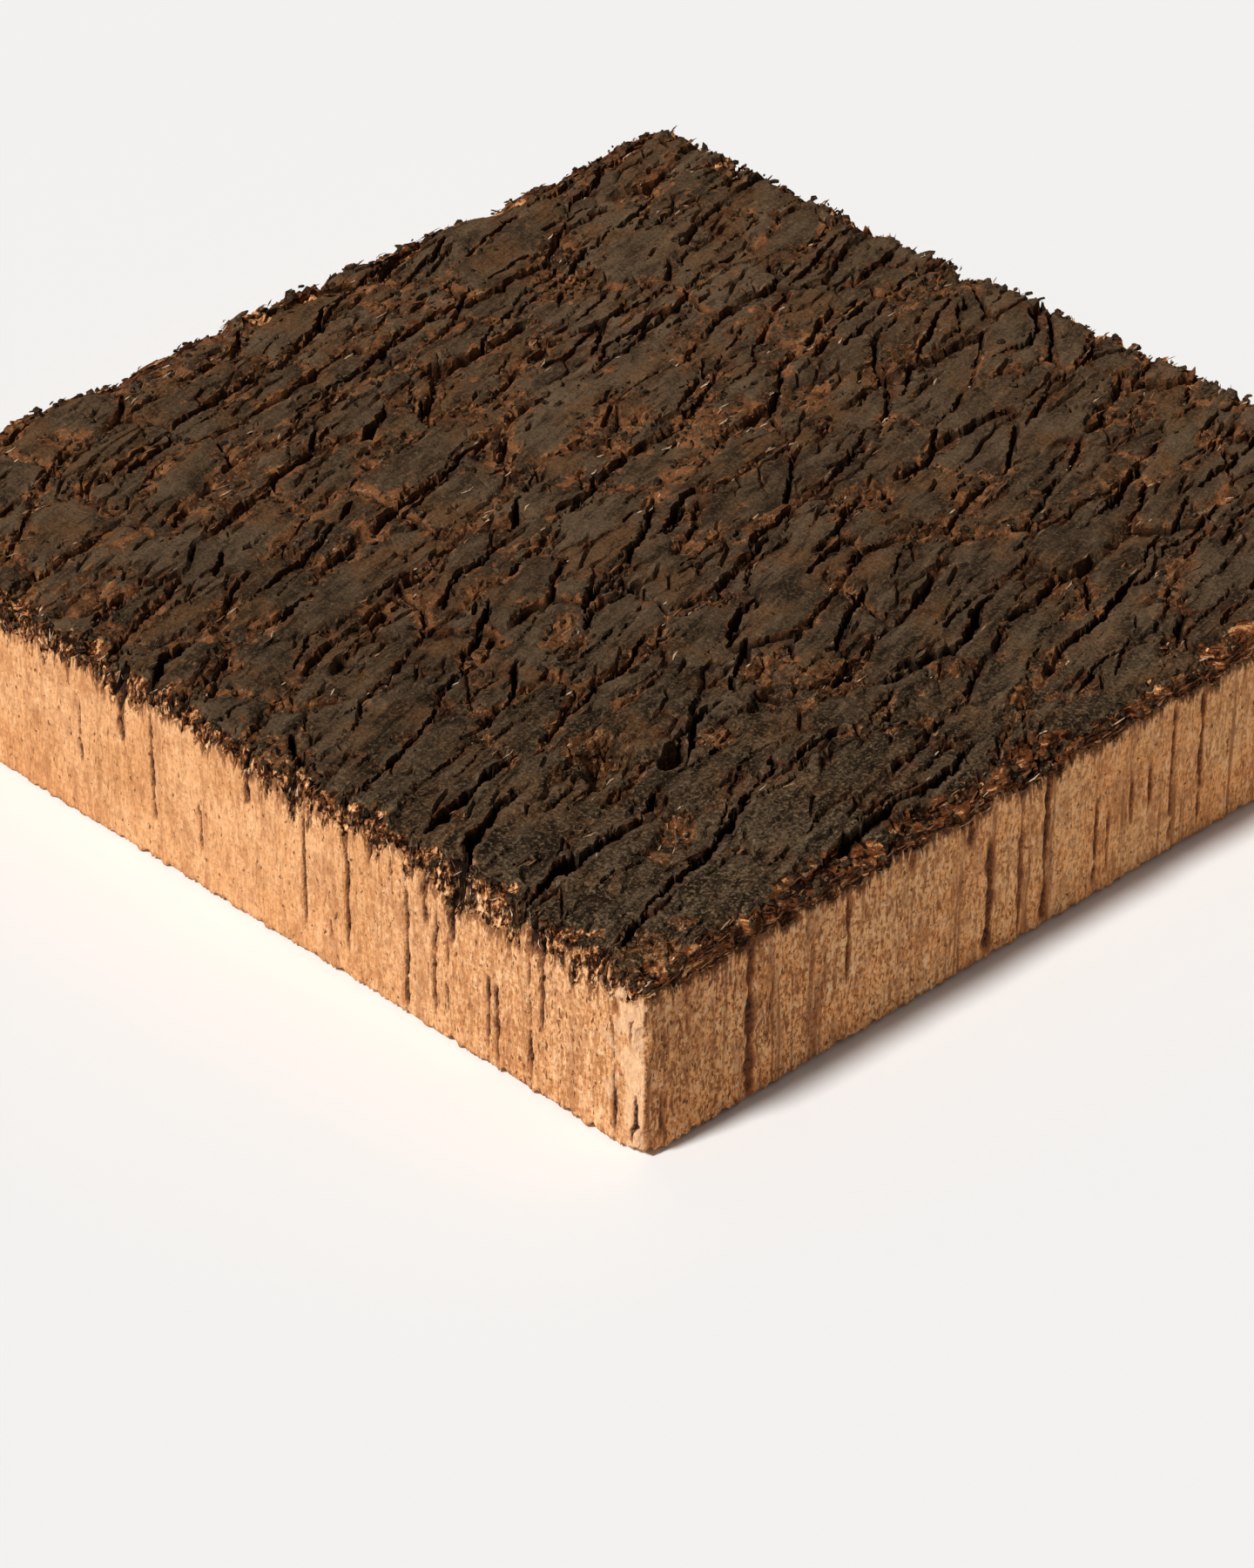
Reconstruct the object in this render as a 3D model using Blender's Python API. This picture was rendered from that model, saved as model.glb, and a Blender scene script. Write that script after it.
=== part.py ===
"""A square slab of raw cork: pale cork below, cracked dark bark on top, sawn square on four sides.

The grain and the long fissures run roughly along X. The cross-cut ends face -X and +X.
The relief is worked out in millimetres and scaled to metres once, when the mesh is made.
"""

import math
import random

import bpy
import numpy as np

MM = 0.001

# Driving dimensions, in millimetres
HALF = 100.0
PLATE_TOP = 34.0
CRUST = 4.5
GRAIN_SLOPE = 0.28
GRID = 0.8
SIDE_ROWS = 26
TRIANGLES = 9600

# Bark relief
SWELL = 0.7
PLATE_LONG = 30.0
PLATE_WIDE = 11.0
PLATE_LIFT = 0.75
PLATE_TILT = 0.07
PLATE_BLEND = 0.9
WARP = 0.9
WARP_SIZE = 7.0
TAPER = 0.22
SHOULDER_REACH = 1.3
SHOULDER_DROP = 0.28
SCARP = 0.35
SCARP_REACH = 3.5
FISSURE_REACH = 7.0

# Fissures placed by hand near the -X, -Y corner: width, depth and route
FISSURES = (
    (2.2, 7.0, ((-101, -49), (-92, -45.5), (-80, -43), (-69, -41))),
    (1.6, 4.5, ((-66, -41), (-60, -39.5), (-50, -38), (-41, -34.5), (-30, -30))),
    (2.8, 9.0, ((-101, -60), (-95, -57), (-90, -53), (-83, -50), (-78, -49))),
    (2.0, 6.5, ((-101, -33), (-92, -31), (-81, -26.5), (-67, -20.5), (-59, -15), (-51, -10), (-42, -5))),
    (1.4, 3.5, ((-50, 0.5), (-44, 4), (-37, 6.5), (-25, 9))),
    (2.8, 8.0, ((-101, -73.5), (-93, -71), (-80, -69), (-70, -68), (-62, -64.5))),
    (2.6, 7.5, ((-96, -91), (-89, -88), (-79, -84), (-69, -82), (-60, -78), (-50, -75), (-43, -72))),
    (2.4, 7.0, ((-63, -97), (-57, -96), (-46, -94.5), (-34, -92), (-25, -92.5), (-17, -89))),
    (1.6, 4.5, ((-71, -31.5), (-62, -29), (-56, -25), (-50, -20))),
    (1.8, 5.0, ((-36, -21), (-30, -16), (-25, -13), (-19, -12))),
    (3.2, 6.5, ((-21, -43), (-27, -47), (-30.5, -51), (-33, -52.5))),
    (2.0, 6.0, ((-33, -52.5), (-44, -54), (-48, -58), (-57, -61))),
    (2.2, 5.0, ((-31, -55), (-25, -59), (-19, -61.5), (-12, -60))),
    (1.6, 4.5, ((-13, -56), (-7, -51.5), (0, -47.5), (7, -45))),
    (3.0, 7.5, ((-17, -66.5), (-6, -69), (6, -67.5), (12, -64), (19, -60.5))),
    (1.8, 4.0, ((-23, -40), (-18, -37), (-9, -34.5))),
    (2.2, 4.5, ((0, -36), (6, -34), (17, -32))),
    (1.8, 4.0, ((24, -31), (28, -28.5), (31.5, -25), (31, -22))),
    (2.0, 4.0, ((0, -22.5), (8, -20), (16, -18))),
    (2.2, 5.5, ((-12, 7), (-4, 10), (1, 13.5), (8, 14.5))),
    (1.6, 4.0, ((-24, 10), (-19, 13), (-14, 17.5), (-8, 20))),
    (2.2, 6.0, ((-71, 14.5), (-65, 17), (-60, 19.5))),
    (1.4, 3.5, ((-84, 14), (-77, 16), (-71, 14.5))),
    (1.6, 4.0, ((-70, 23.5), (-62, 26), (-56, 28), (-47, 30), (-41, 33), (-36, 36))),
    (2.2, 6.0, ((-93, 36.5), (-87, 38.5), (-81, 39), (-74, 39.5))),
    (1.6, 3.5, ((-68, 34), (-64, 37.5), (-61, 40))),
    (2.4, 6.0, ((-72, 68.5), (-66, 71), (-60, 69), (-50, 71), (-44, 73))),
    (1.5, 3.5, ((-46, 48.5), (-37, 52), (-28, 54.5), (-21, 56.5))),
    (2.0, 5.0, ((-22, 49.5), (-16, 52), (-9, 56.5))),
    (1.6, 3.5, ((-33, 27.5), (-26, 29), (-19, 31))),
    (2.4, 8.0, ((-101, 13), (-95, 17), (-90, 19.5), (-84, 20.5))),
    (2.4, 8.0, ((-101, -22), (-97, -18), (-93, -13.5), (-89, -10))),
    (2.4, 9.0, ((-101, 20.5), (-97, 23), (-93, 27))),
    (1.6, 4.0, ((-10, -9.5), (-1, -7), (6, -3), (12, -1))),
    (1.6, 4.0, ((-41, -74.5), (-37, -73), (-28, -71))),
    (1.5, 3.5, ((7, -90), (13, -88), (19, -86), (27, -87.5))),
    (1.6, 4.0, ((-64, 4), (-57, 6), (-50, 9), (-44, 12))),
    (1.8, 5.0, ((20, -79), (31, -76), (42, -73), (55, -66))),
    (1.6, 4.0, ((32, -53), (41, -51), (50, -50))),
    (1.8, 4.5, ((48, -57), (56, -55), (66, -50))),
)
# Fissures that cover the rest of the slab and the smaller cracks between them
LONG_FISSURES = dict(
    seed=11, along=42, across=13, share=0.85, length=(26, 58), sway=0.8, width=(1.5, 2.8), depth=(4.5, 8)
)
SHORT_CRACKS = dict(
    seed=23, along=22, across=8, share=0.6, length=(6, 18), sway=0.5, width=(0.9, 1.4), depth=(1.2, 2.4)
)

# Hollows where outer bark has broken away: x, y, half length, half width, depth
HOLLOWS = (
    (-62, -54, 7.5, 5.0, 3.6),
    (-53, -59, 5.0, 2.6, 4.5),
    (-30, -57, 6.0, 2.5, 1.8),
    (-72, -1.5, 4.5, 2.2, 2.2),
    (-92, -68, 4.0, 2.5, 1.2),
    (-7, 31, 6.0, 4.0, 1.4),
    (13, 21, 10.0, 5.0, 1.2),
)
HOLLOW_TURN = 0.3

# Slits in the sawn sides: distance from the corner, lower end, upper end and width
END_SLITS = (
    (6.7, 2, 11, 1.0),
    (22.5, 12, 35, 1.6),
    (25.5, 3, 24, 1.1),
    (34, 1, 18, 1.2),
    (42.5, 17, 33, 2.6),
    (53.5, 2, 24, 1.0),
    (67.5, 12, 28, 1.0),
    (77.5, 5, 28, 1.0),
    (91, 22, 34, 1.8),
    (114.5, 8, 30, 1.0),
    (122, 20, 34, 2.4),
)
LONG_SIDE_SLITS = (
    (22.8, 2, 28, 1.6),
    (44, 13, 28, 1.0),
    (59, 25, 31, 1.6),
    (77, 3, 20, 1.8),
    (84.5, 1, 22, 1.2),
    (90.5, 1, 35, 1.4),
    (102.5, 2, 20, 1.0),
    (115.5, 12, 21, 1.0),
    (128, 2, 30, 1.2),
)
SLIT_DEPTH = 1.6
SIDE_REACH = 3.0

# Underside: a flat square that the slab rests on, and the rougher edge round it
FLAT_HALF = 93.0
EDGE_LIFT = (0.45, 1.3)
CHIP_LIFT = 3.2
CHIP_REACH = 8.0
EDGE_RAG_SIZE = 9.0
EDGE_WANDER_SIZE = 35.0

BARK_BROWN = (0.045, 0.028, 0.017, 1.0)


def clear_scene():
    for item in list(bpy.context.scene.objects):
        bpy.data.objects.remove(item, do_unlink=True)


def lattice(column, row, seed):
    """A repeatable number from 0 to 1 for each cell of a lattice."""
    n = column.astype(np.int64) * 374761393 + row.astype(np.int64) * 668265263 + seed * 974634777
    n = n & 0xFFFFFFFF
    n = ((n ^ (n >> 13)) * 1274126177) & 0xFFFFFFFF
    n = ((n ^ (n >> 16)) * 1911520717) & 0xFFFFFFFF
    return (n ^ (n >> 15)) / 4294967296.0


def noise(x, y, seed):
    """Smooth noise from about -1 to 1, with features one unit across."""
    column, row = np.floor(x), np.floor(y)
    fx, fy = x - column, y - row

    def corner(dx, dy):
        angle = 2 * math.pi * lattice(column + dx, row + dy, seed)
        return np.cos(angle) * (fx - dx) + np.sin(angle) * (fy - dy)

    ease_x = fx**3 * (fx * (6 * fx - 15) + 10)
    ease_y = fy**3 * (fy * (6 * fy - 15) + 10)
    near = corner(0, 0) * (1 - ease_x) + corner(1, 0) * ease_x
    far = corner(0, 1) * (1 - ease_x) + corner(1, 1) * ease_x
    return 1.5 * (near * (1 - ease_y) + far * ease_y)


def fractal(x, y, size, octaves, seed):
    """Noise summed over octaves, each half the size and strength of the one before."""
    total = np.zeros(np.shape(x))
    for octave in range(octaves):
        finer = 2**octave
        total = total + noise(x * finer / size, y * finer / size, seed + 17 * octave) / finer
    return total


def ramp(low, high, value):
    """Eased step from 0 at low to 1 at high."""
    t = np.clip((value - low) / (high - low), 0, 1)
    return t * t * (3 - 2 * t)


def grain_coordinates(x, y):
    """Distance along and across the slanting grain."""
    along = x + GRAIN_SLOPE * y
    across = y - GRAIN_SLOPE * x + 4.0 * fractal(x, y, 70, 2, 3)
    return along, across


def nearest_cells(a, c, seed):
    """The two nearest points of a jittered lattice: place and cell of each, and squared distances."""
    cell_a, cell_c = np.floor(a), np.floor(c)
    best = np.full(a.shape, 1e9)
    second = np.full(a.shape, 1e9)
    own = [np.zeros(a.shape) for _ in range(4)]
    other = [np.zeros(a.shape) for _ in range(4)]
    for step_c in (-1, 0, 1):
        for step_a in (-2, -1, 0, 1, 2):
            ka, kc = cell_a + step_a, cell_c + step_c
            point_a = ka + 0.5 * (kc % 2) + 0.5 + 0.85 * (lattice(ka, kc, seed) - 0.5)
            point_c = kc + 0.5 + 0.8 * (lattice(ka, kc, seed + 1) - 0.5)
            distance = (point_a - a) ** 2 + (point_c - c) ** 2
            nearest = distance < best
            runner_up = ~nearest & (distance < second)
            for k, value in enumerate((point_a, point_c, ka, kc)):
                other[k] = np.where(nearest, own[k], np.where(runner_up, value, other[k]))
                own[k] = np.where(nearest, value, own[k])
            second = np.where(nearest, best, np.where(runner_up, distance, second))
            best = np.where(nearest, distance, best)
    return own, other, best, second


def plates(along, across, seed):
    """Bark plates, each at its own height and tilt, blended where they meet."""
    a, c = along / PLATE_LONG, across / PLATE_WIDE
    own, other, best, second = nearest_cells(a, c, seed)
    slope = np.hypot((own[0] - other[0]) / PLATE_LONG, (own[1] - other[1]) / PLATE_WIDE)
    border = 0.5 * (second - best) / np.maximum(slope, 1e-6)

    def height(point_a, point_c, ka, kc):
        lift = PLATE_LIFT * (2 * lattice(ka, kc, seed + 2) - 1)
        tilt_a = 0.4 * PLATE_TILT * (2 * lattice(ka, kc, seed + 3) - 1)
        tilt_c = PLATE_TILT * (2 * lattice(ka, kc, seed + 4) - 1)
        lean = tilt_a * (along - point_a * PLATE_LONG) + tilt_c * (across - point_c * PLATE_WIDE)
        return lift + lean

    share = 0.5 * (1 - ramp(0, PLATE_BLEND, border))
    return height(*own) * (1 - share) + height(*other) * share


def hand_placed_area(x, y):
    """Whether the fissures placed by hand already cover this point."""
    return y < 46 - x and y < 160 + x and y > x - 125


def wandering_route(chance, x, y, length, sway):
    """A route of the given length that wanders along the grain, centred on x, y."""
    count = max(3, round(length / 4) + 1)
    angle = math.atan(GRAIN_SLOPE) + chance.gauss(0, 0.1)
    route = []
    drift = 0.0
    for k in range(count):
        t = (k / (count - 1) - 0.5) * length
        drift += chance.gauss(0, sway)
        route.append(
            (
                x + t * math.cos(angle) - drift * math.sin(angle),
                y + t * math.sin(angle) + drift * math.cos(angle),
            )
        )
    return tuple(route)


def grown_fissures(seed, along, across, share, length, sway, width, depth):
    """Fissures on a loose brick pattern, kept out of the area placed by hand."""
    chance = random.Random(seed)
    made = []
    reach = 1.3 * HALF
    for row in range(int(2 * reach / across) + 1):
        for column in range(int(2 * reach / along) + 1):
            u = -reach + (column + 0.5 * (row % 2) + chance.uniform(-0.35, 0.35)) * along
            v = -reach + (row + chance.uniform(-0.35, 0.35)) * across
            x, y = u - GRAIN_SLOPE * v, v + GRAIN_SLOPE * u
            route = wandering_route(chance, x, y, chance.uniform(*length), sway)
            fissure = (chance.uniform(*width), chance.uniform(*depth), route)
            outside = max(abs(x), abs(y)) > HALF + 8
            if chance.random() < share and not outside and not hand_placed_area(x, y):
                made.append(fissure)
    return made


def rounded(route):
    """The route with its corners cut twice, which rounds it."""
    line = np.array(route, float)
    for _ in range(2):
        early = 0.75 * line[:-1] + 0.25 * line[1:]
        late = 0.25 * line[:-1] + 0.75 * line[1:]
        middle = np.stack([early, late], 1).reshape(-1, 2)
        line = np.concatenate([line[:1], middle, line[-1:]])
    return line


def along_route(px, py, line):
    """Distance of each point to a route, how far along it lies, on which side, and the route's length."""
    best = np.full(px.shape, 1e9)
    place = np.zeros(px.shape)
    side = np.zeros(px.shape)
    done = 0.0
    for (ax, ay), (bx, by) in zip(line[:-1], line[1:]):
        size = math.hypot(bx - ax, by - ay)
        dx, dy = (bx - ax) / size, (by - ay) / size
        t = np.clip((px - ax) * dx + (py - ay) * dy, 0, size)
        distance = np.hypot(px - ax - t * dx, py - ay - t * dy)
        nearer = distance < best
        best = np.where(nearer, distance, best)
        place = np.where(nearer, done + t, place)
        side = np.where(nearer, np.sign((px - ax) * dy - (py - ay) * dx), side)
        done += size
    return best, place, side, done


def cut_fissures(x, y, fissures):
    """How much the fissures and their worn shoulders take off a regular grid of heights."""
    depth, shoulder, scarp = np.zeros(x.shape), np.zeros(x.shape), np.zeros(x.shape)
    px = x + WARP * fractal(x, y, WARP_SIZE, 2, 31)
    py = y + WARP * fractal(x, y, WARP_SIZE, 2, 37)
    for number, (width, deep, route) in enumerate(fissures):
        line = rounded(route)
        first = np.floor((line.min(0) - FISSURE_REACH + HALF) / GRID).astype(int).clip(0, None)
        last = np.ceil((line.max(0) + FISSURE_REACH + HALF) / GRID).astype(int).clip(0, None)
        window = (slice(first[0], last[0]), slice(first[1], last[1]))
        if x[window].size == 0:
            continue
        near, place, side, length = along_route(px[window], py[window], line)
        ends = np.clip(np.minimum(place, length - place) / (TAPER * length), 0, 1)
        swell = 1 + 0.35 * noise(place / 5, np.full(place.shape, 7.7 * number), 91)
        half = 0.45 * width * np.sqrt(ends * (2 - ends) + 0.02) * swell
        cut = deep * (0.35 + 0.65 * ends) * (1 - ramp(0.15, 1.0, near / half))
        depth[window] = np.maximum(depth[window], cut)
        worn = SHOULDER_DROP * ends * np.exp(-((near / SHOULDER_REACH) ** 2))
        shoulder[window] = np.maximum(shoulder[window], worn)
        lean = 2 * ((number * 0.618) % 1) - 1
        scarp[window] += SCARP * lean * side * ends * np.exp(-near / SCARP_REACH) * ramp(0.1, 1.0, near)
    return depth + shoulder - scarp


def broken_hollows(x, y):
    """Depth of the hollows, with ragged borders."""
    deepest = np.zeros(x.shape)
    ragged = 0.28 * fractal(x, y, 4, 2, 61)
    for centre_x, centre_y, long, wide, deep in HOLLOWS:
        c, s = math.cos(HOLLOW_TURN), math.sin(HOLLOW_TURN)
        a = (x - centre_x) * c + (y - centre_y) * s
        b = (y - centre_y) * c - (x - centre_x) * s
        out = np.hypot(a / long, b / wide) + ragged
        deepest = np.maximum(deepest, deep * (1 - ramp(0.55, 1.0, out)))
    return deepest


def crumbled_edge(x, y):
    """How far the bark has crumbled down beside the saw cuts."""
    from_x, from_y = HALF - np.abs(x), HALF - np.abs(y)
    near = np.minimum(from_x, from_y)
    along = np.where(from_x < from_y, y + 300 * np.sign(x), x + 700 * np.sign(y))
    coarse = fractal(along, near, EDGE_RAG_SIZE, 2, 51)
    fine = fractal(along, 0.5 * near, 0.25 * EDGE_RAG_SIZE, 2, 52)
    ragged = np.clip(0.5 + 0.5 * coarse + 0.3 * fine, 0, 1.4)
    return (0.9 + 2.2 * ragged) * (1 - ramp(0, 1.5 + 3.6 * ragged, near))


def bark_height(x, y):
    """Height of the bark surface over a regular grid."""
    along, across = grain_coordinates(x, y)
    along = along + 1.5 * WARP * fractal(x, y, WARP_SIZE, 2, 31)
    across = across + WARP * fractal(x, y, WARP_SIZE, 2, 37)
    swell = SWELL * fractal(x, y, 60, 2, 5)
    fissures = list(FISSURES) + grown_fissures(**LONG_FISSURES) + grown_fissures(**SHORT_CRACKS)
    lost = cut_fissures(x, y, fissures) + broken_hollows(x, y) + crumbled_edge(x, y)
    return PLATE_TOP + swell + plates(along, across, 41) - lost


def foot_height(x, y):
    """Height of the underside's edge, which wanders a little and is chipped at one corner."""
    from_x, from_y = HALF - np.abs(x), HALF - np.abs(y)
    along = np.where(from_x < from_y, y + 300 * np.sign(x), x + 700 * np.sign(y))
    wander = np.clip(0.5 + 0.6 * noise(along / EDGE_WANDER_SIZE, np.zeros(x.shape), 71), 0, 1)
    edge = EDGE_LIFT[0] + (EDGE_LIFT[1] - EDGE_LIFT[0]) * wander
    chip = CHIP_LIFT * (1 - ramp(0, CHIP_REACH, 1.6 * (x + HALF) + y + HALF))
    return edge + chip


def side_slits(seed):
    """Seeded slits for a sawn side."""
    chance = random.Random(seed)
    slits = []
    place = 8.0
    while place < 2 * HALF - 6:
        low = chance.uniform(1, 14)
        slits.append((place, low, low + chance.uniform(7, 20), chance.uniform(1.0, 1.7)))
        place += chance.uniform(9, 20)
    return slits


def side_inset(place, z, slits, seed):
    """How far a sawn side lies in from its plane: fine streaks, a rougher crust and slits."""
    inset = 0.2 + 0.15 * fractal(place, 0.12 * z, 2.5, 2, seed)
    crust = ramp(PLATE_TOP - CRUST - 2, PLATE_TOP - 1, z)
    inset = inset + crust * (0.7 + 0.6 * fractal(place, 1.4 * z, 4, 2, seed + 1))
    for centre, low, high, width in slits:
        wandered = place - centre - 0.8 * noise(z / 7, np.full(z.shape, 3.3 * centre), seed + 2)
        ends = np.clip(np.minimum(z - low, high - z) / 3, 0, 1)
        inset = inset + SLIT_DEPTH * ends * (1 - ramp(0.1, 1.0, np.abs(wandered) / (0.75 * width)))
    corner = ramp(0, 5, np.minimum(place, 2 * HALF - place))
    return np.clip(inset, 0, 2.6) * (0.3 + 0.7 * corner)


def inset_sides(x, y, z):
    """Points moved in by the relief of the four sawn sides, which fades out within the slab."""
    from_west, from_south = x + HALF, y + HALF
    from_east, from_north = HALF - x, HALF - y
    west = side_inset(from_south, z, END_SLITS, 81)
    south = side_inset(from_west, z, LONG_SIDE_SLITS, 84)
    east = side_inset(from_south, z, side_slits(7), 87)
    north = side_inset(from_west, z, side_slits(9), 90)
    moved_x = x + west * np.exp(-from_west / SIDE_REACH) - east * np.exp(-from_east / SIDE_REACH)
    moved_y = y + south * np.exp(-from_south / SIDE_REACH) - north * np.exp(-from_north / SIDE_REACH)
    return np.stack([moved_x, moved_y, z], -1)


def border_ring(count):
    """Grid indices round the border, counterclockwise seen from above."""
    run = np.arange(count - 1)
    low, high = np.zeros(count - 1, int), np.full(count - 1, count - 1)
    columns = np.concatenate([run, high, high - run, low])
    rows = np.concatenate([low, run, high, high - run])
    return columns, rows


def grid_faces(index):
    """Quads of a grid of vertex numbers, facing up."""
    corners = (index[:-1, :-1], index[1:, :-1], index[1:, 1:], index[:-1, 1:])
    return np.stack(corners, -1).reshape(-1, 4)


def underside_faces(ring, corners):
    """Triangles between the foot of the sides and the flat square, and the square itself."""
    run = (len(ring) - 1) // 4
    triangles = []
    for side in range(4):
        first, last = corners[side], corners[(side + 1) % 4]
        start = side * run
        for k in range(start, start + run):
            near = first if k < start + run // 2 else last
            triangles.append((ring[k + 1], ring[k], near))
        triangles.append((ring[start + run // 2], first, last))
    square = tuple(reversed(corners))
    return triangles + [square]


def slab_mesh():
    """The closed mesh of the slab: bark, sawn sides and underside."""
    count = round(2 * HALF / GRID) + 1
    axis = np.linspace(-HALF, HALF, count)
    x, y = np.meshgrid(axis, axis, indexing="ij")
    top = bark_height(x, y)
    columns, rows = border_ring(count)
    ring_x, ring_y = x[columns, rows], y[columns, rows]
    share = np.arange(SIDE_ROWS)[:, None] / SIDE_ROWS
    side_z = foot_height(ring_x, ring_y) * (1 - share) + top[columns, rows] * share
    side_x, side_y = np.broadcast_to(ring_x, side_z.shape), np.broadcast_to(ring_y, side_z.shape)

    surfaces = ((x, y, top), (side_x, side_y, side_z))
    square = FLAT_HALF * np.array([(-1, -1, 0), (1, -1, 0), (1, 1, 0), (-1, 1, 0)])
    points = np.concatenate([*(inset_sides(*each).reshape(-1, 3) for each in surfaces), square])
    top_index = np.arange(top.size).reshape(top.shape)
    side_index = top.size + np.arange(side_z.size).reshape(side_z.shape)
    wall = np.vstack([side_index, top_index[columns, rows]])
    wall = np.hstack([wall, wall[:, :1]])
    corners = list(range(len(points) - 4, len(points)))
    quads = np.concatenate([grid_faces(top_index), grid_faces(wall.T)]).tolist()

    mesh = bpy.data.meshes.new("cork_slab")
    mesh.from_pydata((points * MM).tolist(), [], quads + underside_faces(wall[0].tolist(), corners))
    mesh.update()
    return mesh, corners


def bark_material():
    material = bpy.data.materials.new("cork_bark")
    material.use_nodes = True
    surface = material.node_tree.nodes["Principled BSDF"]
    surface.inputs["Base Color"].default_value = BARK_BROWN
    surface.inputs["Roughness"].default_value = 0.9
    surface.inputs["Metallic"].default_value = 0.0
    return material


def thin_out(slab, kept):
    """Fewer faces where the relief is flat, with the kept vertices left in place."""
    movable = slab.vertex_groups.new(name="movable")
    movable.add(range(len(slab.data.vertices)), 1.0, "REPLACE")
    movable.add(kept, 0.0, "REPLACE")
    thinned = slab.modifiers.new("Fewer faces", "DECIMATE")
    thinned.decimate_type = "COLLAPSE"
    thinned.ratio = TRIANGLES / (2 * len(slab.data.polygons))
    thinned.vertex_group = movable.name
    thinned.use_collapse_triangulate = True


def build():
    clear_scene()
    mesh, square = slab_mesh()
    slab = bpy.data.objects.new("cork_slab", mesh)
    bpy.context.scene.collection.objects.link(slab)
    mesh.materials.append(bark_material())
    thin_out(slab, square)


build()
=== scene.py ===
"""The cork bark slab in full detail: cracked dark bark over pale cork, sawn square on four sides.

The relief repeats the part's own formula on a finer grid and adds what is too fine for the solid.
It is worked out in millimetres and scaled to metres once, when a mesh is made.
"""

import math
import random
from collections import namedtuple

import bpy
import numpy as np
from mathutils import Matrix, Vector


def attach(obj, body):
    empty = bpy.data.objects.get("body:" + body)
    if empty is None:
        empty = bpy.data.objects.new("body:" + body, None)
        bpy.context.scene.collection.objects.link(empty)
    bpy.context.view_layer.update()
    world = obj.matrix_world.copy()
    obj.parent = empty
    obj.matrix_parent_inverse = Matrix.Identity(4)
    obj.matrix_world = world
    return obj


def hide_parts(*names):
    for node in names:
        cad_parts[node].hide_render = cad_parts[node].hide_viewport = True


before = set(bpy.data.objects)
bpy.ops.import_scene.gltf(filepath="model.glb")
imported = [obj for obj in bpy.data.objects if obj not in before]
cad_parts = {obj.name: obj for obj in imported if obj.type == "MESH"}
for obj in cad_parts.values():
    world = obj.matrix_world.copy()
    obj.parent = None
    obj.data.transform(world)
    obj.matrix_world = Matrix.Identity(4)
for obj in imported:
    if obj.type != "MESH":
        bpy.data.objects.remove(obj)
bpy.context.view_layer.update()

MM = 0.001

# Driving dimensions, in millimetres
HALF = 100.0
PLATE_TOP = 34.0
GRAIN_SLOPE = 0.28
GRID = 0.32

# Thinning of the bark: triangles left, weight of the distance from the near corner, and its steps
BARK_TRIANGLES = 188000
NEAR_SHARE = 0.0006
THIN_STEPS = 8
# Edges of the bark that turn by more than this, in degrees, look sharp
SHARP_ANGLE = 38.0

# Walls: rows, low end and least height of the bark's band, which reaches down behind the cork
BARK_BAND_ROWS = 20
BARK_BAND_LOW = 22.0
BARK_BAND_LEAST = 2.5
# The cork's wall, its foot, and its rim, which reaches up behind the bark
WALL_STEP = 0.4
WALL_ROWS = 36
RIM_TOP = 34.0
RIM_COVER = 0.7
RIM_INSETS = (4.5, 5.0)
FOOT_INSET = 1.5
HIDDEN_TOP = BARK_BAND_LOW - 2.0

# Bark relief
SWELL = 0.7
PLATE_LONG = 30.0
PLATE_WIDE = 11.0
PLATE_LIFT = 0.75
PLATE_TILT = 0.07
PLATE_BLEND = 0.6
WARP = 0.9
WARP_SIZE = 9.0
TAPER = 0.22
JAG = 0.42
JAG_LONG = 4.0
JAG_WIDE = 1.9
FRAY = 0.28
FRAY_SIZE = 1.0
SHOULDER_REACH = 1.0
SHOULDER_DROP = 0.1
OPENING = 0.28
SHEER = 0.5
SCARP = 0.35
SCARP_REACH = 3.5
FISSURE_REACH = 7.0
FLAKE_LONG = 9.0
FLAKE_WIDE = 3.6
FLAKE_LIFT = 0.34
CHIP_LONG = 3.6
CHIP_WIDE = 1.7
CHIP_RISE = 0.17

# Crumbled edge beside the saw cuts, and layers stripped along the long sides
EDGE_RAG_SIZE = 9.0
STRIP_REACH = 9.0
STRIP_DROP = 2.8

# Where things change with the distance from the near corner, X and Y together: start and end
STRIPS_GROW = (10, 150)
PARTINGS_OPEN = (20, 190)
DETAIL_CALMS = (80, 260)
CALM_SHARE = 0.4
FAR = 150
# How much the bark warms along X and along Y
WARM_SHARES = (0.35, 0.65)
# Depth of the partings between plates
PARTING_DEPTH = 2.4

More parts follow.
